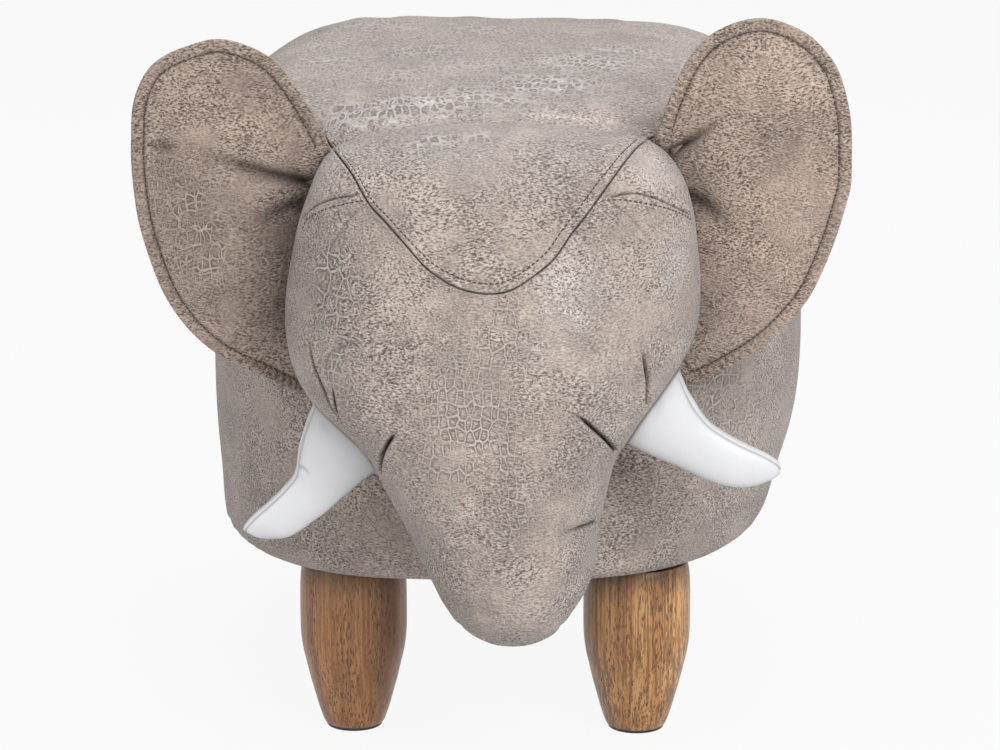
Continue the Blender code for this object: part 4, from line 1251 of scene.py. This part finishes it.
# %% Trees that lay copies along a curve
def laying_tree(name, **sockets):
    """A node tree with a curve going in, and the given inputs, each with its kind of socket."""
    tree = bpy.data.node_groups.new(name, "GeometryNodeTree")
    tree.interface.new_socket("Geometry", in_out="OUTPUT", socket_type="NodeSocketGeometry")
    for label, kind in {"Geometry": "Geometry", **sockets, "Finish": "Material"}.items():
        tree.interface.new_socket(label, in_out="INPUT", socket_type=f"NodeSocket{kind}")
    return tree, tree.nodes.new("NodeGroupInput").outputs


def resampled(tree, given, socket, mode):
    inputs = {"Curve": given["Geometry"], mode.title(): given[socket]}
    return add_node(tree, "GeometryNodeResampleCurve", inputs, mode=mode).outputs[0]


def aligned(tree, vector, axis):
    return add_node(tree, "FunctionNodeAlignRotationToVector", {"Vector": vector}, axis=axis).outputs[0]


def along_curve(tree, axis):
    return aligned(tree, add_node(tree, "GeometryNodeInputTangent").outputs[0], axis)


def finish_laying(tree, given, **inputs):
    """Place the instances, make them real and give them their finish."""
    placed = add_node(tree, "GeometryNodeInstanceOnPoints", inputs)
    real = add_node(tree, "GeometryNodeRealizeInstances", {"Geometry": placed.outputs[0]})
    inputs = {"Geometry": real.outputs[0], "Material": given["Finish"]}
    finished = add_node(tree, "GeometryNodeSetMaterial", inputs)
    tree.links.new(finished.outputs[0], tree.nodes.new("NodeGroupOutput").inputs[0])
    return tree


def stitching_tree():
    tree, given = laying_tree("stitching", Pitch="Float", Length="Float", Thickness="Float")
    stitch = add_node(tree, "GeometryNodeMeshUVSphere", {"Segments": 8, "Rings": 6, "Radius": 0.5})
    inputs = {"X": given["Thickness"], "Y": given["Thickness"], "Z": given["Length"]}
    size = add_node(tree, "ShaderNodeCombineXYZ", inputs)
    return finish_laying(
        tree, given, Points=resampled(tree, given, "Pitch", "LENGTH"), Instance=stitch.outputs["Mesh"],
        Rotation=along_curve(tree, "Z"), Scale=size.outputs[0])


# %% Curves to lay things on
def curve_object(name, paths):
    curve = bpy.data.curves.new(name, "CURVE")
    curve.dimensions = "3D"
    for path in paths:
        line = curve.splines.new("POLY")
        line.points.add(len(path) - 1)
        line.points.foreach_set("co", np.hstack([path, np.ones((len(path), 1))]).ravel())
    return add_object(name, curve)


def lay(name, paths, tree, slot, nodes=(), **values):
    """Run a node tree on curves and keep the result as a plain mesh object."""
    source = curve_object(name, paths)
    modifier = source.modifiers.new("Laid", "NODES")
    modifier.node_group = tree
    for item in tree.interface.items_tree:
        if item.item_type == "SOCKET" and item.in_out == "INPUT" and item.name in values:
            modifier[item.identifier] = values[item.name]
    graph = bpy.context.evaluated_depsgraph_get()
    mesh = bpy.data.meshes.new_from_object(source.evaluated_get(graph))
    mesh.name = name
    bpy.data.objects.remove(source, do_unlink=True)
    piece = add_object(name, mesh)
    mesh.shade_smooth()
    dress(piece, nodes)
    print(name, len(mesh.polygons), "faces")
    return piece


# %% Rows of stitches
stitches = stitching_tree()
stitch_sizes = {"Pitch": 3.0 * MM, "Length": 2.3 * MM, "Thickness": 0.85 * MM, "Finish": thread}
left_brow_topstitch_photo = [(303, 228), (307, 220), (319, 212), (333, 207), (349, 203), (362, 201)]
right_brow_topstitch_photo = [(609, 200), (625, 200), (641, 203), (662, 207), (682, 214), (690, 219)]


def offset_line(line, gaps):
    """The same line of the picture, moved sideways by so many pixels at each point."""
    along = unit_rows(np.gradient(line, axis=0))
    return line + gaps[:, None] * np.stack([along[:, 1], -along[:, 0]], axis=1)


def ear_stitch_path(ear, outline):
    """The margin line of an ear, on its front face, without the part inside the head."""
    tree = surface_tree(ear)
    edge = outline[3:int(len(outline) * 0.72)]
    inward = unit_rows(np.cross(np.gradient(edge, axis=0), (0, 1, 0)))
    if ((outline.mean(axis=0) - edge) * inward).sum() < 0:
        inward = -inward
    line = edge + inward * ear_margin
    hits = [tree.ray_cast(Vector((x, body_front - 0.1, z)), Vector((0, 1, 0)))[0] for x, _, z in line]
    return even_steps([hit for hit in hits if hit is not None], path_step)


forehead_line = spline(forehead_seam_photo[1:-1], 4)
topstitch_gaps = np.interp(forehead_line[:, 0], [330, 407, 451, 606, 641], [4, 6, 10, 10, 6])
forehead_topstitch = photo_to_surface(offset_line(forehead_line, topstitch_gaps), sewn_tree)
head_stitch_paths = [
    even_steps(forehead_topstitch, path_step), path_on(sewn_tree, left_brow_topstitch_photo),
    path_on(sewn_tree, right_brow_topstitch_photo)]
lay("head_stitches", head_stitch_paths, stitches, "leather", **stitch_sizes)
for side, (ear, outline) in ears.items():
    lay(f"{side}_ear_stitches", [ear_stitch_path(ear, outline)], stitches, "leather", **stitch_sizes)

# %% [markdown]
# ## Legs
#
# The legs are turned on a lathe, so their form is one profile spun round an axis. The engineering model
# has the same profile with a few flat sides. Here it is a smooth one that stands on a thin round glide.
# Each leg has its own piece of wood: the grain is shifted from leg to leg, and the front right leg is
# a paler piece.

# %% Turn the legs
# Share of the radius, share of the height
leg_profile_shares = [
    (0.535, 0.0), (0.555, 0.006), (0.59, 0.03), (0.665, 0.098), (0.745, 0.188), (0.822, 0.277),
    (0.888, 0.366), (0.953, 0.455), (0.99, 0.545), (1.0, 0.635), (1.0, 0.80), (0.99, 0.89), (0.965, 0.96),
    (0.93, 1.0)]
glide_profile = [(0.42, 0.0), (0.505, 0.15), (0.525, 0.5), (0.52, 0.9), (0.40, 1.0)]
glide_height = 2.2 * MM
wood_tones = [screen_colour(188, 133, 85), screen_colour(148, 97, 59), screen_colour(92, 53, 29)]
pale_wood_tones = [screen_colour(206, 155, 102), screen_colour(166, 115, 70), screen_colour(104, 62, 34)]

# Tones, strength of the growth rings, where the piece of wood is cut, and how much paler its right side
# is painted, as painted light
leg_woods = {
    "front_left": (wood_tones, 0.35, (0.31, 0.12, 0.0), 0),
    "front_right": (pale_wood_tones, 0.6, (0.07, 0.41, 0.0), 0.33),
    "rear_left": (wood_tones, 0.45, (0.52, 0.23, 0.0), 0),
    "rear_right": (wood_tones, 0.5, (0.19, 0.66, 0.0), 0),
}


def turned(name, profile, low, high, bottom, top, finish, lit_side_paling, around=96):
    """A profile spun round the middle of a leg's box, from one height up to another."""
    centre, radius = (low + high) / 2, (high.x - low.x) / 2
    angles = full_turn(around)
    rings = []
    for radius_share, height_share in spline(profile, 8):
        x = centre.x + radius * radius_share * np.cos(angles)
        y = centre.y + radius * radius_share * np.sin(angles)
        rings.append(np.stack([x, y, np.full(around, bottom + (top - bottom) * height_share)], axis=1))
    piece = loft(name, rings, finish)
    piece.data.set_sharp_from_angle(angle=math.radians(50))
    points = corner_array(piece)
    # Painted shadow near the top of the leg, where the body overhangs it
    shadow_under_body = bell(high.z - points[:, 2], 11 * MM)
    # Painted light: the right side of the leg paler, by the share given for each leg
    paint(piece, shade=(1 - 0.6 * shadow_under_body) * (1 + lit_side_paling * (points[:, 0] - centre.x) / radius))
    return piece


for corner, (tones, stripes, shift, lit_side_paling) in leg_woods.items():
    wood = wood_finish(f"leg_wood_{corner}", *tones, stripes, shift)
    low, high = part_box(f"leg_{corner}")
    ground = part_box(f"glide_{corner}")[0].z
    foot = ground + glide_height
    leg = turned(
        f"turned_leg_{corner}", leg_profile_shares, low, high, foot, high.z, wood, lit_side_paling)
    dress(leg, [f"leg_{corner}"])
    glide = turned(
        f"round_glide_{corner}", glide_profile, low, high, ground, foot + 0.3 * MM,
        slot_finishes["glide_plastic"], lit_side_paling)
    dress(glide, [f"glide_{corner}"])
print("Legs:", len(leg_woods))

# %% [markdown]
# ## Cloth under the body
#
# A black nonwoven cloth closes the underside. It is cut as an oval, pulled flat and stapled through the
# leather's hem into the base board, so its edge bows a little between the staples. The model keeps the
# size that it was cut to. One staple is bent from a wire, and Geometry Nodes set a copy at each place.

# %% Dust cover
cloth_low, cloth_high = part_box("dust_cover")
cloth_inset = 32 * MM
cloth_bow = 0.9 * MM
cloth_half_width = 0.14
staple_spacing = 24 * MM
staple_inset = 5 * MM
cloth_shares = (0.02, 0.2, 0.4, 0.6, 0.75, 0.88, 0.96, 1.0)


def cloth_ring(height, share, around=720):
    ring = plan_ring(height, cloth_inset, 1.0, around)
    run = np.concatenate([[0], np.cumsum(np.linalg.norm(np.diff(ring, axis=0), axis=1))])
    middle = np.array([0, body_middle, height])
    bowed = 1 - cloth_bow * (0.5 - 0.5 * np.cos(run / staple_spacing * math.tau)) / cloth_half_width
    ring = middle + (ring - middle) * (bowed * share)[:, None]
    ring[:, 2] -= cloth_bow * (1 - share ** 2) ** 2
    return ring


dust_cloth = loft("dust_cloth", [
    *(cloth_ring(cloth_low.z, share) for share in cloth_shares),
    *(cloth_ring(cloth_high.z, share) for share in cloth_shares[::-1])], slot_finishes["dust_cloth"])
cloth_edge = cloth_ring(cloth_low.z, 1.0)
dress(dust_cloth, ["dust_cover"])

# %% One staple, swept along a bent wire, and its copies
# Half of the wire, as millimetres across and up; the other half mirrors it
staple_bend = [(4.6, 1.4), (4.6, 0.5), (4.2, 0.05)]
staple_radius = 0.45 * MM


def sweep(name, path, radius, sides=6):
    """A round wire along a path that stays in one plane."""
    sideways = (0.0, 1.0, 0.0)
    across = unit_rows(np.cross(unit_rows(np.gradient(path, axis=0)), sideways))
    angles = full_turn(sides)
    return loft(name, [
        point + radius * (np.outer(np.cos(angles), side) + np.outer(np.sin(angles), sideways))
        for point, side in zip(path, across)])


def stapling_tree():
    """Copies of an object along a curve, turned with it."""
    tree, given = laying_tree("stapling", Spacing="Float", Copied="Object")
    copied = add_node(tree, "GeometryNodeObjectInfo", {"Object": given["Copied"]})
    return finish_laying(
        tree, given, Points=resampled(tree, given, "Spacing", "LENGTH"), Instance=copied.outputs["Geometry"],
        Rotation=along_curve(tree, "X"))


staple_corners = [(-x * MM, 0, z * MM) for x, z in staple_bend] + [(0, 0, 0)]
staple_corners += [(x * MM, 0, z * MM) for x, z in staple_bend[::-1]]
staple = sweep("one_staple", spline(staple_corners, 2), staple_radius)
staple_line = plan_ring(cloth_low.z - 0.3 * MM, cloth_inset + staple_inset, 1.0, 300)
lay(
    "cloth_staples", [np.vstack([staple_line, staple_line[:1]])], stapling_tree(), "steel",
    Spacing=staple_spacing, Copied=staple, Finish=slot_finishes["steel"])
bpy.data.objects.remove(staple, do_unlink=True)

# %% [markdown]
# ## Tail
#
# The photograph doesn't show the back. Such animals have a short strap with a cut leather fringe, and
# this one is kept plain. The strap is a folded strip swept down the rump from the seat seam, with a row
# of stitches near each edge. The fringe is one cut strip, copied round an oval by Geometry Nodes with
# a little turn and spread, and held by a wrap.

# %% Tail strap
strap_low, strap_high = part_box("tail_strap")
strap_half_width = (strap_high.x - strap_low.x) / 2
strap_half_thickness = 1.3 * MM
strap_back = strap_low.y
strap_stitch_inset = 2.4 * MM

# Distance behind the body, height, and share of the width
strap_rows = [
    (-5.0 * MM, strap_high.z + 1.2 * MM, 1.0), (-1.0 * MM, strap_high.z + 0.6 * MM, 1.0),
    (1.6 * MM, strap_high.z - 1.6 * MM, 1.0), (2.2 * MM, strap_high.z - 8 * MM, 1.0),
    (2.0 * MM, strap_high.z - 30 * MM, 1.0), (2.3 * MM, strap_high.z - 60 * MM, 1.0),
    (3.4 * MM, strap_low.z + 14 * MM, 0.96), (5.6 * MM, strap_low.z + 5 * MM, 0.72),
    (7.0 * MM, strap_low.z - 1 * MM, 0.55)]


def rounded_strip(half_width, half_thickness, around=40, power=0.35):
    """A flat section with round edges, as values across and through."""
    angles = full_turn(around)
    return half_width * powered(np.cos(angles), power), half_thickness * np.sin(angles)


def plain_leather(piece):
    paint(piece, **{name: float(name == "shade") for name in leather_values})


strap_path = spline(strap_rows, 10)
strap_rings = []
strap_run = unit_rows(np.gradient(strap_path[:, :2], axis=0))
for (behind, height, width_share), (run_y, run_z) in zip(strap_path, strap_run):
    across, through = rounded_strip(strap_half_width * width_share, strap_half_thickness)
    y, z = strap_back + behind - through * run_z, height + through * run_y
    strap_rings.append(np.stack([across, y, z], axis=1))
tail_strap = loft("tail_strip", strap_rings, ear_leather)
plain_leather(tail_strap)
dress(tail_strap, ["tail_strap"])

stitched = strap_path[18:58]
lay("tail_stitches", [
    even_steps(np.stack([
        np.full(len(stitched), side * (strap_half_width - strap_stitch_inset)),
        strap_back + stitched[:, 0] + strap_half_thickness, stitched[:, 1]], axis=1), path_step)
    for side in (-1, 1)], stitches, "leather", **stitch_sizes)

# %% Tassel: a wrap and a fringe
wrap_middle = strap_back + 7.5 * MM
fringe_top = strap_low.z - 8.0 * MM
strip_length = fringe_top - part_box("tail_tassel")[0].z - 0.5 * MM

# Share of the wrap's width, millimetres above the strap's end
wrap_rows = [
    (0.15, 1.0), (0.75, 0.6), (0.95, -0.5), (1.0, -3.0), (0.98, -6.0), (1.0, -8.5), (0.85, -9.6),
    (0.3, -10.0)]


def fringe_tree():
    """Copies of a strip round an oval, hanging outwards, each with a little turn of its own."""
    tree, given = laying_tree(
        "fringe", Strips="Int", Middle="Vector", Spread="Float", Seed="Int", Strip="Object")
    here = add_node(tree, "GeometryNodeInputPosition").outputs[0]
    outward = vector_step(tree, "SUBTRACT", {0: here, 1: given["Middle"]})
    leaning = vector_step(tree, "SCALE", {0: outward, "Scale": given["Spread"]})
    hanging = vector_step(tree, "ADD", {0: leaning, 1: (0.0, 0.0, -1.0)})
    inputs = {"Seed": given["Seed"], 0: (-0.06, -0.06, -3.1), 1: (0.06, 0.06, 3.1)}
    twist = add_node(tree, "FunctionNodeRandomValue", inputs, data_type="FLOAT_VECTOR")
    twisted = add_node(
        tree, "FunctionNodeRotateRotation", {"Rotation": aligned(tree, hanging, "Z"), 1: twist.outputs[0]},
        rotation_space="LOCAL")
    copied = add_node(tree, "GeometryNodeObjectInfo", {"Object": given["Strip"]})
    return finish_laying(
        tree, given, Points=resampled(tree, given, "Strips", "COUNT"), Instance=copied.outputs["Geometry"],
        Rotation=twisted.outputs[0])


def oval_line(half_width, half_depth, height, count=48):
    """An oval round the tassel's middle, with its last point on its first."""
    angles = np.linspace(0, math.tau, count)
    y = wrap_middle + half_depth * np.sin(angles)
    return np.stack([half_width * np.cos(angles), y, np.full(count, height)], axis=1)


wrap = loft("tassel_wrap", [
    oval_line(7.4 * MM * share, 5.6 * MM * share, strap_low.z + height * MM)[:-1]
    for share, height in spline(wrap_rows, 4)], ear_leather)
plain_leather(wrap)
dress(wrap)

strip_rings = []
for share in np.linspace(0, 1, 7):
    across, through = rounded_strip(1.25 * MM * (0.85 + 0.3 * share), 0.5 * MM, 8, 0.6)
    bend = 1.1 * MM * math.sin(share * 2.6)
    strip_rings.append(np.stack([across, through + bend, np.full(8, strip_length * share)], axis=1))
one_strip = loft("one_strip", strip_rings)
fringe_ovals = [oval_line(5.8 * MM, 4.2 * MM, fringe_top), oval_line(2.8 * MM, 2.0 * MM, fringe_top)]
fringe = lay(
    "tassel_fringe", fringe_ovals, fringe_tree(), "leather", ["tail_tassel"], Strips=21,
    Middle=(0.0, wrap_middle, fringe_top), Spread=24.0, Seed=4, Strip=one_strip, Finish=ear_leather)
bpy.data.objects.remove(one_strip, do_unlink=True)
plain_leather(fringe)

# %% [markdown]
# ## Floor and light
#
# The photograph is a cut-out on white. The floor is a white sheet that shows white to the camera and
# keeps a faint shadow, and large soft lamps light the stool from the front and above.

# %% Floor
floor_half = 6.0
floor_grey = (0.6, 0.6, 0.6, 1.0)
white = (1.0, 1.0, 1.0, 1.0)


def floor_finish():
    material, tree, _ = new_finish("white_floor", Roughness=0.8, Base_Color=floor_grey)
    glow = add_node(tree, "ShaderNodeEmission", {"Color": white, "Strength": 1.0})
    path = add_node(tree, "ShaderNodeLightPath").outputs
    mirrored = larger(tree, path["Is Glossy Ray"], path["Is Transmission Ray"])
    seen = times(tree, larger(tree, path["Is Camera Ray"], mirrored), 0.92)
    shader = tree.nodes["Principled BSDF"].outputs[0]
    mixed = add_node(tree, "ShaderNodeMixShader", {0: seen, 1: shader, 2: glow.outputs[0]})
    tree.links.new(mixed.outputs[0], tree.nodes["Material Output"].inputs["Surface"])
    return material


floor_corners = [(x * floor_half, y * floor_half, 0) for x, y in ((-1, -1), (1, -1), (1, 1), (-1, 1))]
floor = add_object("floor", mesh_from("floor", floor_corners, [(0, 1, 2, 3)]), floor_finish())
print("Floor:", 2 * floor_half, "metres a side")

# %% Lamps and world
stool_middle = Vector((0, -0.05, 0.22))
world_strength = 0.42

# Place, diameter and power of each lamp
lamps = {
    "key_lamp": ((0.85, -1.8, 1.25), 1.2, 29.5),
    "fill_lamp": ((-1.6, -1.8, 0.7), 1.6, 10),
    "top_lamp": ((0.1, 1.1, 2.3), 1.8, 22.5),
}
for name, (place, size, power) in lamps.items():
    data = bpy.data.lights.new(name, "AREA")
    data.shape = "DISK"
    data.size = size
    data.energy = power
    lamp = add_object(name, data)
    lamp.location = place
    lamp.rotation_euler = (stool_middle - Vector(place)).to_track_quat("-Z", "Y").to_euler()

world = bpy.data.worlds.new("studio")
world.use_nodes = True
background = world.node_tree.nodes["Background"]
light_path = add_node(world.node_tree, "ShaderNodeLightPath")
seen_white = add_node(
    world.node_tree, "ShaderNodeMapRange",
    {"Value": light_path.outputs["Is Camera Ray"], "To Min": world_strength, "To Max": 1.0})
world.node_tree.links.new(seen_white.outputs[0], background.inputs["Strength"])
background.inputs["Color"].default_value = white
bpy.context.scene.world = world
bpy.context.scene.view_settings.view_transform = "Standard"
print("Lamps:", ", ".join(lamps))
